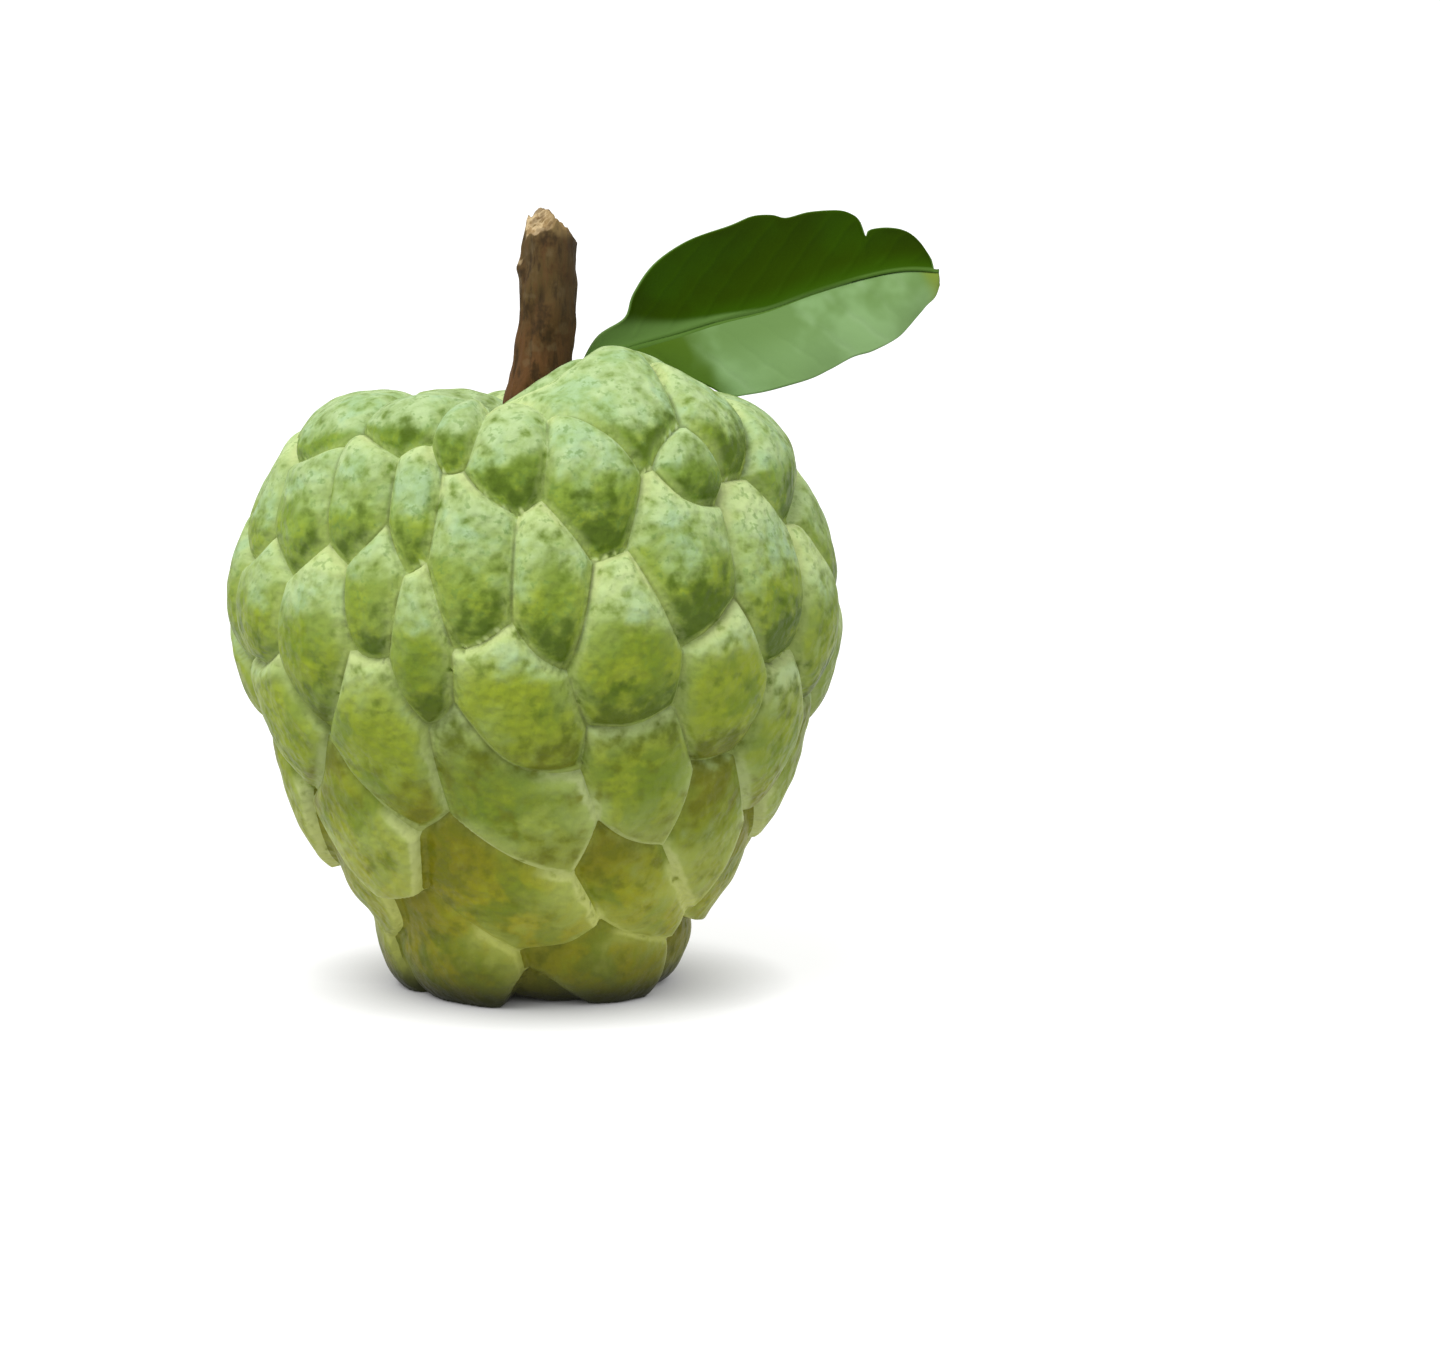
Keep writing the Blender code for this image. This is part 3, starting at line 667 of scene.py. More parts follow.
@dataclass
class Fruit:
    """The fruit's skin as a fine mesh, with a vertex line along every border between lobes."""

    cuts: int = 127
    line_rounds: int = 2
    swells: float = 5.5 * MM
    swell_depth: float = 0.22 * MM
    dents: float = 2.2 * MM
    dent_depth: float = 0.10 * MM
    stem_place: tuple[float, float] = (-0.4 * MM, 0.0)
    stem_radius: float = 4.7 * MM
    collar_depth: float = 0.9 * MM
    collar_width: float = 1.1 * MM
    crown_above: float = 50 * MM
    border_width: float = 0.06 * MM
    # Heights over which the bloom and its painted top light grow in
    bloom_and_top_light_from: float = 12 * MM
    bloom_and_top_light_full: float = 58 * MM
    finish: FruitSkin = field(default_factory=FruitSkin)

    def build(self) -> bpy.types.Object:
        """Makes the dressed fruit.

        Returns:
            The skin piece, with the numbers that its material reads.
        """
        body = Body()
        lobes = Lobes(body)
        shape = self.ball()
        ball = np.array([vert.co for vert in shape.verts])
        edges = np.array([[vert.index for vert in edge.verts] for edge in shape.edges])
        turn = np.arctan2(ball[:, 0], -ball[:, 1])
        along = np.arccos(np.clip(-ball[:, 2], -1, 1)) / math.pi * body.length
        turn, along = self.line_up(body, lobes, turn, along, edges)
        points, outward, _, _ = body.place(turn, along)
        ground = self.ground(lobes, points)
        relief = ground.height + self.unevenness(points, ground)
        points = points + outward * relief[:, None]
        points[:, 2] -= self.collar(points)
        points[:, 2] = np.maximum(points[:, 2], 0.0)
        move_vertices(shape, points)
        piece = finished("fruit_skin", shape, "fruit")
        self.mark(piece.data, lobes, ground)
        piece.data.materials.append(self.finish.material())
        return piece

    def ball(self) -> bmesh.types.BMesh:
        """Makes a round ball of even triangles from a cube.

        Returns:
            The ball, with a radius of 1.
        """
        shape = bmesh.new()
        bmesh.ops.create_cube(shape, size=2.0)
        bmesh.ops.subdivide_edges(shape, edges=shape.edges[:], cuts=self.cuts, use_grid_fill=True)
        for vert in shape.verts:
            even = Vector(math.tan(share * math.pi / 4) for share in vert.co)
            vert.co = even.normalized()
        bmesh.ops.triangulate(shape, faces=shape.faces[:])
        shape.verts.index_update()
        return shape

    def line_up(self, body: Body, lobes: Lobes, turn: np.ndarray, along: np.ndarray,
                edges: np.ndarray) -> tuple[np.ndarray, np.ndarray]:
        """Moves the vertices next to a border onto it, so that every groove runs along mesh edges.

        Args:
            body: The smooth form.
            lobes: The lobes on it.
            turn: Each vertex's angle.
            along: Each vertex's distance up the outline.
            edges: Pairs of vertex numbers.

        Returns:
            The new angles and distances.
        """
        moved = np.zeros(len(turn), bool)
        for _ in range(self.line_rounds):
            points, _, down, east = body.place(turn, along)
            ground = self.ground(lobes, points)
            owner = ground.owner
            ends = edges[owner[edges[:, 0]] != owner[edges[:, 1]]]
            pairs = np.concatenate([ends, ends[:, ::-1]])
            vertex, rival = pairs[:, 0], owner[pairs[:, 1]]
            parts = in_batches(lobes.scores, points[vertex])
            score = np.concatenate([part[0] for part in parts])
            row = np.arange(len(vertex))
            growth = np.concatenate([part[1] for part in parts])
            lead = score[row, rival] - score[row, owner[vertex]]
            slope = growth[row, rival] - growth[row, owner[vertex]]
            steep = np.maximum((slope**2).sum(axis=1), 1e-9)
            shift = -slope * (lead / steep)[:, None]
            far = np.linalg.norm(shift, axis=1)
            partner = np.concatenate([far[len(ends):], far[:len(ends)]])
            chosen = (far <= partner) & ~moved[vertex]
            order = np.argsort(-far[chosen])
            vertex, shift = vertex[chosen][order], shift[chosen][order]
            radius = np.interp(along[vertex], body.along, body.radius)
            sideways = (shift * east[vertex]).sum(axis=1) / np.maximum(radius, 2 * MM)
            lengthways = -(shift * down[vertex]).sum(axis=1)
            turn[vertex], along[vertex] = turn[vertex] + sideways, along[vertex] + lengthways
            moved[vertex] = True
        return turn, along

    @staticmethod
    def ground(lobes: Lobes, points: np.ndarray) -> Ground:
        """Works out the lobes' relief a batch at a time.

        Args:
            lobes: The lobes.
            points: Places on the body, one a row.

        Returns:
            What they say about all of those places.
        """
        parts = in_batches(lobes.ground, points)
        names = ("height", "from_edge", "lengthways", "owner")
        return Ground(*(np.concatenate([getattr(part, name) for part in parts]) for name in names))

    def unevenness(self, points: np.ndarray, ground: Ground) -> np.ndarray:
        """Works out low swells and dents on the lobes, which fade at their borders.

        Args:
            points: Places on the body, one a row.
            ground: What the lobes say about them.

        Returns:
            How far the skin stands out there, in metres.
        """
        inside = smoothstep(0.2 * MM, 2.0 * MM, ground.from_edge)
        swells = self.swell_depth * grain(points, self.swells, 3.0)
        dents = self.dent_depth * grain(points, self.dents, 8.0)
        return (swells + dents) * (0.25 + 0.75 * inside)

    def collar(self, points: np.ndarray) -> np.ndarray:
        """Works out the dip where the skin meets the stem.

        Args:
            points: Places on the skin, one a row.

        Returns:
            How far it dips there, in metres.
        """
        off = np.hypot(points[:, 0] - self.stem_place[0], points[:, 1] - self.stem_place[1])
        near = np.exp(-((off - self.stem_radius) / self.collar_width) ** 2)
        return np.where(points[:, 2] > self.crown_above, self.collar_depth * near, 0.0)

    def mark(self, mesh: bpy.types.Mesh, lobes: Lobes, ground: Ground) -> None:
        """Keeps on the mesh what the skin's material reads.

        Args:
            mesh: The finished skin.
            lobes: The lobes, for the tone of each.
            ground: What they say about each vertex.
        """
        places, normals = places_and_normals(mesh)
        facing_up = normals[:, 2]
        high = smoothstep(self.bloom_and_top_light_from, self.bloom_and_top_light_full, places[:, 2])
        upper = 0.5 - 0.5 * np.clip(ground.lengthways, -1, 1)
        # Bloom share, partly painted top light: it grows where the skin faces up, towards each lobe's upper
        # end and high on the fruit
        bloom_and_top_light = smoothstep(-0.10, 0.75, facing_up + 0.7 * (upper - 0.45)) * (0.15 + 0.85 * high)
        inside = smoothstep(0.3 * MM, 1.5 * MM, ground.from_edge)
        low = lobes.low[ground.owner]
        # Painted shade on each high lobe's lower end where it faces down, weaker where it faces -X, towards
        # the light
        nose = smoothstep(0.1, 0.9, ground.lengthways) * (1 - smoothstep(0.2, 1.05, facing_up))
        nose = nose * (0.25 + 0.75 * smoothstep(-0.8, -0.1, normals[:, 0]))
        # Painted shadow under the ledge of the lobe above, on the upper part of each low lobe
        under_ledge_shadow = 1 - smoothstep(-0.9, 0.35, ground.lengthways)
        # Where the painted shade falls: the lower ends of high lobes and under the ledges of low ones
        underside = nose * (1 - low) * (0.3 + 0.7 * inside) + under_ledge_shadow * low * (0.7 + 0.3 * inside)
        # Ledge crests, where pale suture colour and a painted highlight lie: the lower rim of each low
        # lobe, the upper rim of each high one
        lower_rim = smoothstep(-0.15, 0.35, ground.lengthways)
        upper_rim = 1 - smoothstep(-0.75, -0.35, ground.lengthways)
        crest_suture_and_highlight = low * np.maximum(lower_rim, 0.12) + (1 - low) * np.maximum(0.8 * upper_rim, 0.3)
        tip = (1 - smoothstep(-0.9, -0.15, ground.lengthways)) * (1 - 0.8 * low)
        on_border = ground.from_edge < self.border_width
        by_side = {"crest_suture_and_highlight": crest_suture_and_highlight, "tip": tip, "tone": lobes.tone[ground.owner], "bloom_and_top_light": bloom_and_top_light,
                   "underside": underside}
        for name, values in by_side.items():
            store_by_side(mesh, name, values, on_border)
        store(mesh, "from_edge", ground.from_edge / MM)
        store(mesh, "height", places[:, 2])
        store(mesh, "scuff", self.scuffs(places))

    def scuffs(self, places: np.ndarray) -> np.ndarray:
        """Finds where the skin is rubbed brown: round spots at given places.

        Args:
            places: Places on the skin, one a row.

        Returns:
            How worn it is there, as shares from 0 to 1.
        """
        spots = [(-17.5, -22.0, 22.0, 3.2), (-26.0, -22.0, 15.0, 2.4)]
        worn = np.zeros(len(places))
        for x, y, z, size in spots:
            off = np.linalg.norm(places - np.array([x, y, z]) * MM, axis=1)
            worn = np.maximum(worn, 1 - smoothstep(0.3, 1.0, off / (size * MM)))
        return worn


@dataclass(frozen=True)
class TwigBark:
    """Dried woody bark, grown: matt brown with lengthwise cracks, pale specks, and torn wood at its end,
    with painted shade on its +X side and on its torn wood towards +X.
    """

    bark: str = "#5c4321"
    deep: str = "#33240f"
    ruddy: str = "#6c4526"
    olive: str = "#62502c"
    tan: str = "#957c50"
    grey: str = "#7d6a4c"
    wood: str = "#d2bb90"
    wood_shade: str = "#94774a"
    crack: float = 1.1 * MM
    fleck: float = 2.2 * MM

    def material(self) -> bpy.types.Material:
        """Builds the bark's material, with its grain drawn out along the stem.

        Returns:
            The material.
        """
        reads = ("torn", "depth", "height", "shaded_side")
        material, tree, shader, (torn, depth, height, shaded_side) = start_material("dried_twig_bark", reads)
        place = add_node(tree, "ShaderNodeTexCoord").outputs["Object"]
        drawn = add_node(tree, "ShaderNodeMapping", None, {"Vector": place, "Scale": (1.0, 1.0, 0.28)})
        fibre, blotch, fleck = (
            add_node(tree, "ShaderNodeTexNoise", None, {
                "Vector": spot, "Scale": scale, "Detail": detail, "Roughness": roughness}).outputs["Fac"]
            for spot, scale, detail, roughness in (
                (drawn.outputs["Vector"], 1 / self.crack, 5.0, 0.65), (place, 0.5 / self.fleck, 4.0, 0.6),
                (place, 1 / self.fleck, 3.0, 0.5))
        )
        wood = layered(tree, linear(self.wood), [
            (self.wood_shade, 0.8, (fibre, 0.55, 0.40)),
            (self.bark, 0.6, (blotch, 0.54, 0.40)),
        ])
        colour = layered(tree, linear(self.bark), [
            (self.ruddy, 0.6, (height, 90 * MM, 78 * MM)),
            (self.olive, 0.6, (height, 84 * MM, 92 * MM), (blotch, 0.40, 0.56)),
            (self.deep, 0.7, (fibre, 0.52, 0.36)),
            (self.deep, 0.8, (blotch, 0.50, 0.36)),
            (self.deep, 0.5, (depth, 0.42, 0.1)),
            (self.ruddy, 0.3, (fibre, 0.52, 0.64)),
            (self.grey, 0.3, (fleck, 0.56, 0.68)),
            # Painted shade on the twig's +X side, away from the light
            (self.deep, 0.5, (shaded_side, 0.0, 1.0)),
            (self.tan, 0.9, (height, 96.4 * MM, 98.6 * MM), (blotch, 0.34, 0.50)),
            (wood, 1.0, (torn, 0.0, 1.0)),
        ])
        bump = add_node(tree, "ShaderNodeBump", None, {
            "Strength": 0.7, "Distance": 0.3 * MM, "Height": fibre}).outputs["Normal"]
        feed(tree, shader, {"Base Color": colour, "Normal": bump, "Roughness": 0.82,
                            "Specular IOR Level": 0.25})
        return material


@dataclass
class Stem:
    """The stem: a bent tapering twig in cracked bark, torn off at its upper end."""

    # The axis in mm as x, y and z, with the radius there
    line: Points = field(default_factory=lambda: [
        (-0.4, 0.0, 67.2, 4.7), (-0.4, 0.0, 71.0, 4.7), (0.0, 0.0, 75.0, 4.3), (0.8, 0.0, 79.5, 3.95),
        (1.6, 0.0, 85.0, 3.65), (1.9, 0.0, 90.5, 3.6), (2.0, 0.0, 95.0, 3.5), (2.0, 0.0, 102.5, 3.45),
    ])
    # The planes that break it off: a point in mm and the way each one faces
    breaks: list[tuple[tuple[float, ...], tuple[float, ...]]] = field(default_factory=lambda: [
        ((-0.4, 0.0, 98.2), (-0.50, -0.35, 0.80)), ((3.6, 0.0, 98.2), (0.75, 0.12, 0.65)),
        ((1.6, 1.0, 100.4), (0.15, 0.25, 1.0)), ((-1.3, 0.0, 96.0), (-0.97, -0.1, 0.22)),
    ])
    sides: int = 144
    rings: int = 220
    end_rings: int = 26
    roughness: float = 0.22 * MM
    smooth_below: float = 71.5 * MM
    crack_depth: float = 0.14 * MM
    splinter: float = 0.45 * MM
    nub: tuple[float, float, float] = (-1.6 * MM, -0.6 * MM, 93.0 * MM)
    nub_size: float = 1.1 * MM
    nub_height: float = 0.6 * MM
    torn_above: float = 92 * MM
    # How far towards +X the torn wood shows pale, and how it fades: partly painted shade on its +X side
    pale_up_to: float = 0.6 * MM
    pale_fade: float = 3.0 * MM
    finish: TwigBark = field(default_factory=TwigBark)

    def build(self) -> bpy.types.Object:
        """Makes the dressed stem.

        Returns:
            The twig piece.
        """
        shape = bmesh.new()
        rows = self.rings + self.end_rings
        bmesh.ops.create_grid(shape, x_segments=self.sides, y_segments=rows, size=1.0)
        grid = np.array([vert.co for vert in shape.verts])
        turn = (grid[:, 0] + 1) * math.pi
        row = (grid[:, 1] + 1) / 2 * rows
        flank = np.clip((row - 1) / (self.rings - 1), 0, 1)
        inward = np.where(row < 1, row, 1 - np.clip((row - self.rings) / self.end_rings, 0, 1))
        line = smooth_line(self.line, 12) * MM
        rim = self.end_height(line, turn, np.ones_like(turn))
        root = line[0, 2]
        height = root + (rim - root) * flank
        x, y = self.around(line, turn, height, inward)
        height = np.where(row > self.rings, self.end_height(line, turn, inward), height)
        move_vertices(shape, np.stack([x, y, height], axis=-1))
        bmesh.ops.remove_doubles(shape, verts=shape.verts[:], dist=1e-6)
        bmesh.ops.recalc_face_normals(shape, faces=shape.faces[:])
        piece = finished("stem_bark", shape, "stem")
        self.mark(piece.data, line)
        piece.data.materials.append(self.finish.material())
        return piece

    @staticmethod
    def axis(line: np.ndarray, height: np.ndarray) -> tuple[np.ndarray, ...]:
        """Where the twig's axis runs at some heights, as x and y, and its radius there."""
        return tuple(np.interp(height, line[:, 2], line[:, number]) for number in (0, 1, 3))

    def bark_relief(self, points: np.ndarray) -> np.ndarray:
        """Works out the bark's cracks and ridges.

        Args:
            points: Places on the plain twig, one a row.

        Returns:
            How far the bark stands out there, in metres.
        """
        drawn = points * np.array([1.0, 1.0, 0.17])
        cracks = -np.abs(grain(drawn, 1.3 * MM, 2.0, 2)) * 1.6 + 0.5
        ridges = grain(points * np.array([1.0, 1.0, 0.45]), 3.0 * MM, 6.0, 1)
        return self.crack_depth * (cracks + 0.8 * ridges)

    def around(self, line: np.ndarray, turn: np.ndarray, height: np.ndarray,
               inward: np.ndarray) -> tuple[np.ndarray, np.ndarray]:
        """Places on the twig.

        Args:
            line: Its axis and radius, one ring a row.
            turn: Angles round it.
            height: Heights up it.
            inward: 1 on the bark, 0 on the axis.

        Returns:
            Their x and y.
        """
        middle_x, middle_y, radius = self.axis(line, height)
        rough = self.roughness * smoothstep(self.smooth_below, self.smooth_below + 3 * MM, height)
        flutes = np.sin(3 * turn + 260 * height) + 0.7 * np.sin(5 * turn - 420 * height + 1.3)
        knobs = np.sin(900 * height + 2 * np.sin(2 * turn + 0.6))
        reach = radius + rough * (0.6 * flutes + 0.5 * knobs)
        cosine, sine = np.cos(turn), np.sin(turn)
        bark = np.stack([middle_x + reach * cosine, middle_y + reach * sine, height], axis=-1)
        fade = smoothstep(self.smooth_below - 2 * MM, self.smooth_below + 2 * MM, height)
        reach = reach + self.bark_relief(bark) * fade
        off = np.linalg.norm(bark - np.array(self.nub), axis=1)
        reach = (reach + self.nub_height * np.exp(-(off / self.nub_size) ** 2)) * inward
        return middle_x + reach * cosine, middle_y + reach * sine

    def end_height(self, line: np.ndarray, turn: np.ndarray, inward: np.ndarray) -> np.ndarray:
        """Works out the torn end, as the lowest of its broken planes with splinters.

        Args:
            line: The twig's axis and radius, one ring a row.
            turn: Angles round it.
            inward: 1 on the bark, 0 on the axis.

        Returns:
            How high the end stands there, in metres.
        """
        top = line[-1]
        x = top[0] + top[3] * inward * np.cos(turn)
        y = top[1] + top[3] * inward * np.sin(turn)
        heights = []
        for point, facing in self.breaks:
            px, py, pz = np.array(point) * MM
            fx, fy, fz = facing
            heights.append(pz - ((x - px) * fx + (y - py) * fy) / fz)
        across = np.stack([x, y, np.zeros_like(x)], axis=-1)
        return np.min(heights, axis=0) + self.splinter * grain(across, 0.8 * MM, 4.0, 2)

    def mark(self, mesh: bpy.types.Mesh, line: np.ndarray) -> None:
        """Keeps on the mesh where the wood is torn, how deep the bark is, how high, and its side in painted
        shade.

        Args:
            mesh: The finished twig.
            line: Its axis and radius, one ring a row.
        """
        places, normals = places_and_normals(mesh)
        middle_x, middle_y, radius = self.axis(line, places[:, 2])
        off = np.hypot(places[:, 0] - middle_x, places[:, 1] - middle_y)
        torn = smoothstep(0.30, 0.55, normals[:, 2]) * (places[:, 2] > self.torn_above)
        # Torn wood that fades into bark colour towards +X: partly painted shade, with the pale side facing
        # the light
        torn = torn * (1 - smoothstep(self.pale_up_to, self.pale_up_to + self.pale_fade, places[:, 0]))
        store(mesh, "torn", torn)
        store(mesh, "depth", 0.5 + (off - radius) / (0.8 * MM))
        store(mesh, "height", places[:, 2])
        # Painted shade: the twig darkens towards its +X side
        store(mesh, "shaded_side", smoothstep(-0.3, 1.0, (places[:, 0] - middle_x) / radius))


@dataclass(frozen=True)
class LeafCuticle:
    """A leathery leaf, grown: dark green under a satin wax cuticle, with a painted sheen of the light that
    pales its near half and the far half's base.
    """

    dark: str = "#304800"
    # Pale greens of the near half: a painted sheen over the leaf's dark green
    pale: str = "#6f9052"
    soft: str = "#8db076"
    deep: str = "#365a04"
    shaded: str = "#4d6b18"
    rib: str = "#5f8238"
    vein: str = "#93b080"
    yellow: str = "#7f902c"
    below: str = "#6a8c48"
    cloud: float = 9.0 * MM
    grit: float = 0.8 * MM

    def material(self) -> bpy.types.Material:
        """Builds the leaf's material from its own ribs and halves.

        Returns:
            The material.
        """
        material, tree, shader, numbers = start_material(
            "leathery_leaf", ("across", "along", "from_rib", "from_vein", "foot", "below"))
        across, along, from_rib, from_vein, foot, below = numbers
        place = add_node(tree, "ShaderNodeTexCoord").outputs["Object"]
        cloud, fine = (
            add_node(tree, "ShaderNodeTexNoise", None, {
                "Vector": place, "Scale": 1 / size, "Detail": detail}).outputs["Fac"]
            for size, detail in ((self.cloud, 3.0), (self.grit, 2.0))
        )
        # Near half: the same dark green under a painted sheen, paler towards its margin and in clouds
        near_half_with_sheen = layered(tree, linear(self.pale), [
            (self.soft, 0.75, (cloud, 0.42, 0.60)),
            (self.soft, 0.45, (across, -0.25, -0.75)),
            (self.vein, 0.25, (from_vein, 0.80, 0.1), (cloud, 0.40, 0.60)),
            (self.shaded, 0.95, (along, 0.36, 0.26)),
            (self.yellow, 0.7, (along, 0.91, 0.98)),
        ])
        far_half = layered(tree, linear(self.dark), [
            (self.deep, 0.5, (cloud, 0.45, 0.70)),
            (self.deep, 0.08, (from_vein, 0.50, 0.1)),
            (self.deep, 0.7, (from_rib, 3.0, 0.5)),
            # Painted sheen at the far half's base, drawn in the underside's pale green
            (self.below, 0.8, (foot, 0.0, 1.0)),
        ])
        colour = layered(tree, far_half, [
            (near_half_with_sheen, 1.0, (across, 0.03, -0.03)),
            (self.rib, 0.7, (from_rib, 0.50, 0.20)),
            (self.below, 1.0, (below, 0.0, 1.0)),
        ])
        bump = add_node(tree, "ShaderNodeBump", None, {
            "Strength": 0.25, "Distance": 0.1 * MM, "Height": fine}).outputs["Normal"]
        feed(tree, shader, {"Base Color": colour, "Normal": bump, "Roughness": 0.42, "IOR": 1.45,
                            "Specular IOR Level": 0.03})
        return material


@dataclass
class Leaf:
    """The leaf: a thin folded blade with a raised midrib and side veins, on its petiole."""

    # The midrib's line in mm, and the half widths in mm against the distance along x
    midrib: Points = field(default_factory=lambda: [
        (5.2, 2.3, 78.6), (8.0, 4.6, 80.9), (12.4, 7.6, 81.9), (18.0, 11.0, 83.0), (23.7, 14.0, 84.4),
        (30.0, 16.0, 85.7), (36.0, 17.4, 87.7), (43.0, 18.9, 89.6), (48.0, 19.8, 90.4),
        (52.4, 20.8, 90.2),
    ])
    far_width: Points = field(default_factory=lambda: [
        (6.0, 0.7), (8.2, 2.6), (11.6, 3.9), (12.7, 6.7), (15.3, 9.8), (19.6, 11.6), (25.0, 12.1),
        (28.0, 12.6), (30.5, 12.1), (32.4, 11.1), (35.4, 10.8), (39.1, 9.8), (40.9, 8.8), (41.9, 7.7),
        (42.8, 5.4), (43.4, 6.1), (45.8, 5.9), (48.2, 5.1), (50.0, 3.6), (51.2, 1.8), (51.7, 0.4),
        (52.4, 0.3),
    ])
    near_width: Points = field(default_factory=lambda: [
        (6.0, 0.7), (10.0, 1.8), (14.0, 3.0), (18.0, 5.2), (22.0, 8.5), (25.0, 10.8), (28.0, 11.2),
        (34.5, 12.0), (38.0, 11.4), (41.0, 10.7), (43.8, 10.7), (46.9, 9.4), (49.6, 6.3), (50.7, 4.9),
        (51.8, 3.7), (52.4, 1.9),
    ])
    far_rise: float = math.radians(84)
    near_drop: float = math.radians(60)
    blade_from: float = 6.0
    blade_to: float = 52.4
    steps_along: int = 220
    steps_across: int = 96
    thickness: float = 0.45 * MM
    camber: float = 0.9
    wave: float = 0.35
    vein_spacing: float = 4.6
    slant: float = 0.4
    # Size of the painted sheen at the far half's base, near the midrib
    foot_width: float = 3.9
    foot_start: float = 12.4
    foot_length: float = 8.0
    vein_height: float = 0.06
    vein_reach: float = 0.3
    quilting: float = 0.07
    rib_radius: float = 0.68 * MM
    rib_depth: float = 0.48 * MM
    finish: LeafCuticle = field(default_factory=LeafCuticle)

    def build(self) -> bpy.types.Object:
        """Makes the dressed leaf.

        Returns:
            The leaf piece: blade, midrib and petiole.
        """
        shape = bmesh.new()
        bmesh.ops.create_grid(shape, x_segments=self.steps_along, y_segments=self.steps_across, size=1.0)
        grid = np.array([vert.co for vert in shape.verts])
        x = self.blade_from + (self.blade_to - self.blade_from) * (grid[:, 0] + 1) / 2
        across = grid[:, 1]
        points, from_vein, out = self.blade(x, across)
        # Painted sheen at the far half's base, fading along the leaf
        pale_to = self.foot_width * np.exp((self.foot_start - x) / self.foot_length)
        foot = 1 - smoothstep(0.35, 1.25, out / pale_to)
        move_vertices(shape, points * MM)
        along = (x - self.slant * out - self.blade_from) / (self.blade_to - self.blade_from)
        along = along + 0.02 * grain(points * MM, 2.5 * MM, 5.0)
        numbers = {"across": across, "along": along, "from_rib": out, "from_vein": from_vein, "foot": foot}
        layers = {name: shape.verts.layers.float.new(name) for name in (*numbers, "below")}
        for vert in shape.verts:
            for name, values in numbers.items():
                vert[layers[name]] = values[vert.index]
        self.thicken(shape, layers["below"])
        self.add_petiole(shape, layers)
        piece = finished("leaf_blade", shape, "leaf")
        piece.data.materials.append(self.finish.material())
        return piece

    def blade(self, x: np.ndarray, across: np.ndarray) -> tuple[np.ndarray, np.ndarray, np.ndarray]:
        """Places on the blade's middle surface, in mm.

        Args:
            x: Places along +X.
            across: -1 at the near margin, 0 at the midrib, 1 at the far one.

        Returns:
            The places, the distance to the nearest side vein, and the distance to the midrib.
        """
        rib = smooth_line(self.midrib, 12).T
        y, z = np.interp(x, rib[0], rib[1]), np.interp(x, rib[0], rib[2])
        far = across > 0
        side = np.where(far, 1, -1)
        width = np.where(far, np.interp(x, *smooth_line(self.far_width, 6).T),
                         np.interp(x, *smooth_line(self.near_width, 6).T))
        out = np.abs(across) * width
        along_vein = (x - 0.75 * out - 0.012 * out**2) / self.vein_spacing + np.where(far, 0.0, 0.5)
        swing = 0.03 * np.sin(1.3 * x + 0.9 * out)
        phase = np.abs((along_vein + swing) % 1 - 0.5) * 2
        from_vein = phase * self.vein_spacing / 2 * 0.8
        full = np.minimum(width / 12, 1)
        ribbed = smoothstep(0.4, 1.6, out) * smoothstep(1.0, 0.86, np.abs(across))
        veins = self.vein_height * np.exp(-(from_vein / self.vein_reach) ** 2)
        relief = (self.quilting * phase**0.8 - veins) * ribbed
        groove = -0.25 * np.exp(-(out / 0.5) ** 2)
        camber = self.camber * np.sin(math.pi * np.abs(across)) * full
        wave = self.wave * across**2 * np.sin(0.55 * x + np.where(far, 1.0, 2.4)) * full
        tilt = np.where(far, self.far_rise, -self.near_drop)
        lift = wave - (camber + relief + groove) * side
        y = y + side * out * np.cos(tilt) - lift * np.sin(np.abs(tilt))
        z = z + out * np.sin(tilt) - lift * np.cos(tilt) * side
        return np.stack([x, y, z], axis=-1), from_vein, out

    def thicken(self, shape: bmesh.types.BMesh, below: bmesh.types.BMLayerItem) -> None:
        """Gives the blade its thickness and marks its underside.

        Args:
            shape: The blade's middle surface.
            below: The layer that is 1 on the underside.
        """
        bmesh.ops.recalc_face_normals(shape, faces=shape.faces[:])
        top = shape.faces[:]
        if sum(face.normal.y for face in top) > 0:
            bmesh.ops.reverse_faces(shape, faces=top)
        shape.normal_update()
        half = self.thickness / 2
        for vert in shape.verts:
            vert.co += vert.normal * half
        bmesh.ops.solidify(shape, geom=top, thickness=self.thickness)
        upper = {vert for face in top if face.is_valid for vert in face.verts}
        for vert in shape.verts:
            vert[below] = 0.0 if vert in upper else 1.0

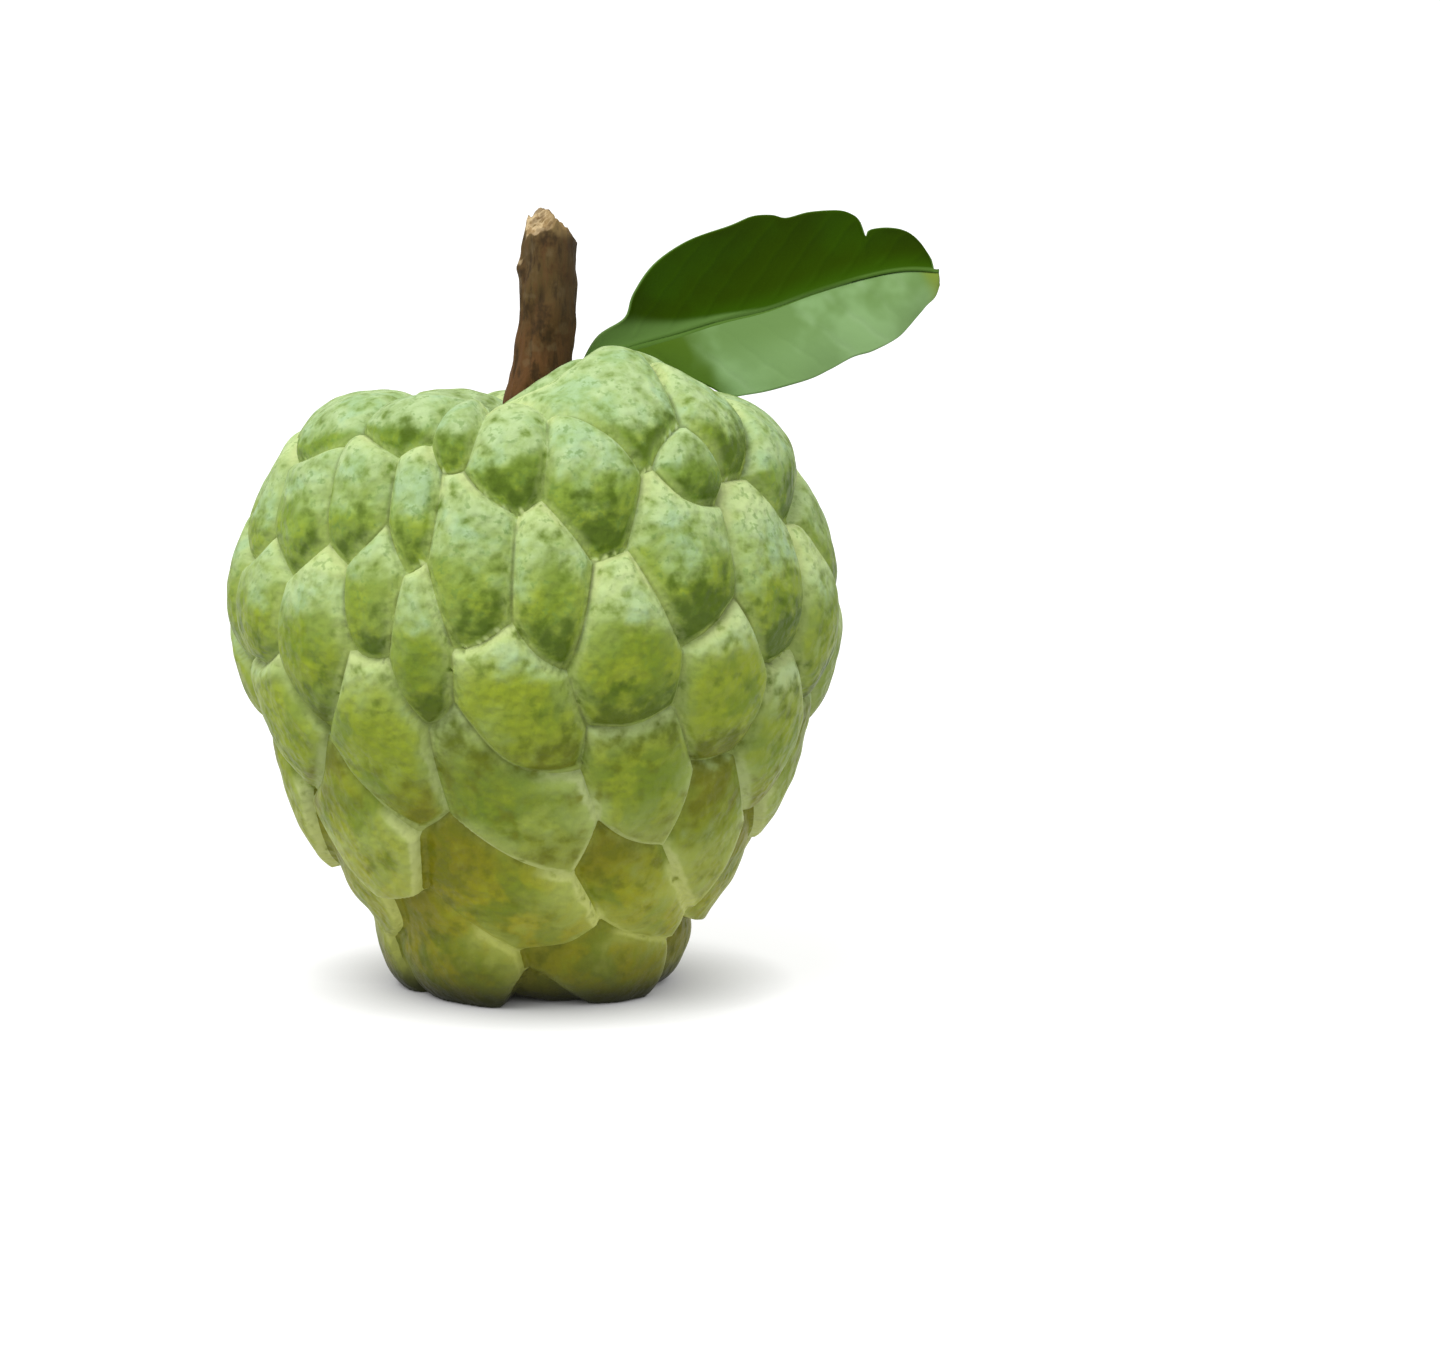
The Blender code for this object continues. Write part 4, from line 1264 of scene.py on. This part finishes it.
    def add_petiole(self, shape: bmesh.types.BMesh, layers: dict) -> None:
        """Adds the petiole, which runs on under the blade as its midrib.

        Args:
            shape: The blade.
            layers: The numbers that its material reads, by name.
        """
        line = smooth_line(self.midrib, 16)
        line = line[line[:, 0] < self.blade_to - 3] * MM
        sides = 20
        first = len(shape.verts)
        made = bmesh.ops.create_cone(
            shape, cap_ends=True, segments=sides, radius1=1.0, radius2=1.0, depth=1.0
        )["verts"]
        flanks = {edge for vert in made for edge in vert.link_edges
                  if abs(edge.verts[0].co.z - edge.verts[1].co.z) > 0.5}
        bmesh.ops.subdivide_edges(shape, edges=list(flanks), cuts=len(line) - 2, use_grid_fill=True)
        shape.verts.ensure_lookup_table()
        ahead = np.gradient(line, axis=0)
        for vert in shape.verts[first:]:
            ring = round((vert.co.z + 0.5) * (len(line) - 1))
            share = ring / (len(line) - 1)
            onward = Vector(ahead[ring]).normalized()
            aside = onward.cross(Vector((0, 0, 1))).normalized()
            upward = aside.cross(onward)
            radius = self.rib_radius * (1.15 - 0.7 * share)
            middle = Vector(line[ring]) - Vector((0, 0, self.rib_depth))
            vert.co = middle + (aside * vert.co.x + upward * vert.co.y) * radius
            vert[layers["from_vein"]] = 3.0
            vert[layers["along"]] = 0.3
            vert[layers["below"]] = 0.0


@dataclass
class Studio:
    """A pale floor, soft light from above and the camera."""

    floor_size: float = 12.0
    floor_colour: str = "#a8a8a8"
    white: str = "#ffffff"
    # The floor's own glow, dimmed near the fruit as a painted contact shadow
    floor_glow: float = 0.75
    shadow_reach: float = 15 * MM
    room_above: float = 0.8
    room_below: float = 0.55
    overhead_strength: float = 1.7
    overhead_spread: float = math.radians(40)
    overhead_from: tuple[float, float, float] = (-0.35, -0.40, 1.0)
    elevation: float = math.radians(9.5)
    distance: float = 0.9
    picture: tuple[int, int] = (1440, 1355)
    mm_per_pixel: float = 0.13
    axis_pixel: float = 537.0
    rest_pixel: float = 995.0
    rest_depth: float = 2.0 * MM
    sensor: float = 36.0

    def build(self) -> None:
        """Sets up the floor, the lights and the camera."""
        self.floor()
        self.lights()
        self.camera()

    def floor(self) -> None:
        """Lays a plain pale floor just under the fruit. It glows white, and its glow fades close to the
        fruit as a painted contact shadow.
        """
        shape = bmesh.new()
        bmesh.ops.create_grid(shape, x_segments=1, y_segments=1, size=self.floor_size / 2)
        floor = in_scene("floor", shape)
        floor.data.transform(Matrix.Translation((0, 0, -0.02 * MM)))
        material, tree, shader, _ = start_material("glowing_white_floor")
        # The floor's glow is dimmed by occlusion near the fruit: a painted contact shadow
        open_share = add_node(tree, "ShaderNodeAmbientOcclusion", {"samples": 16}, {
            "Distance": self.shadow_reach}).outputs["AO"]
        glow = add_node(tree, "ShaderNodeMapRange", None, {
            "Value": open_share, "To Max": self.floor_glow}).outputs["Result"]
        feed(tree, shader, {"Base Color": linear(self.floor_colour), "Roughness": 0.9,
                            "Specular IOR Level": 0.1, "Emission Color": linear(self.white),
                            "Emission Strength": glow})
        floor.data.materials.append(material)
        floor.visible_diffuse = False

    def lights(self) -> None:
        """Hangs the soft overhead light in a white room that is dimmer below."""
        world = bpy.data.worlds.new("white_room")
        world.use_nodes = True
        tree = world.node_tree
        way = add_node(tree, "ShaderNodeTexCoord").outputs["Generated"]
        upward = add_node(tree, "ShaderNodeSeparateXYZ", None, {"Vector": way}).outputs["Z"]
        bright = add_node(tree, "ShaderNodeMapRange", {"interpolation_type": "SMOOTHSTEP"}, {
            "Value": upward, "From Min": -0.5, "From Max": 0.5, "To Min": self.room_below,
            "To Max": self.room_above}).outputs["Result"]
        feed(tree, tree.nodes["Background"], {"Color": linear(self.white), "Strength": bright})
        bpy.context.scene.world = world
        lamp = bpy.data.lights.new("overhead", "SUN")
        lamp.energy = self.overhead_strength
        lamp.angle = self.overhead_spread
        overhead = bpy.data.objects.new("overhead", lamp)
        overhead.location = Vector(self.overhead_from)
        overhead.rotation_euler = Vector(self.overhead_from).to_track_quat("Z", "Y").to_euler()
        bpy.context.scene.collection.objects.link(overhead)

    def camera(self) -> None:
        """Puts the camera at the picture's viewing angle."""
        width, height = self.picture
        up = Vector((0, math.sin(self.elevation), math.cos(self.elevation)))
        look = Vector((0, math.cos(self.elevation), -math.sin(self.elevation)))
        across = (width / 2 - self.axis_pixel) * self.mm_per_pixel * MM
        above = (self.rest_pixel - height / 2) * self.mm_per_pixel * MM - self.rest_depth
        target = Vector((across, 0, 0)) + up * above
        data = bpy.data.cameras.new("camera")
        data.sensor_width = self.sensor
        data.lens = self.sensor * self.distance / (width * self.mm_per_pixel * MM)
        data.clip_start = 0.01
        camera = bpy.data.objects.new("camera", data)
        camera.location = target - look * self.distance
        camera.rotation_euler = look.to_track_quat("-Z", "Y").to_euler()
        bpy.context.scene.collection.objects.link(camera)
        bpy.context.scene.camera = camera
        bpy.context.scene.view_settings.view_transform = "Standard"


def main() -> None:
    """Builds the fruit, its stem and its leaf, then the studio."""
    logging.basicConfig(level=logging.INFO, format="%(name)s: %(message)s")
    for part in (Fruit(), Stem(), Leaf()):
        piece = part.build()
        log.info("%s: %d faces", piece.name, len(piece.data.polygons))
    Studio().build()
    log.info("studio: floor, light and camera")


if __name__ == "__main__":
    main()
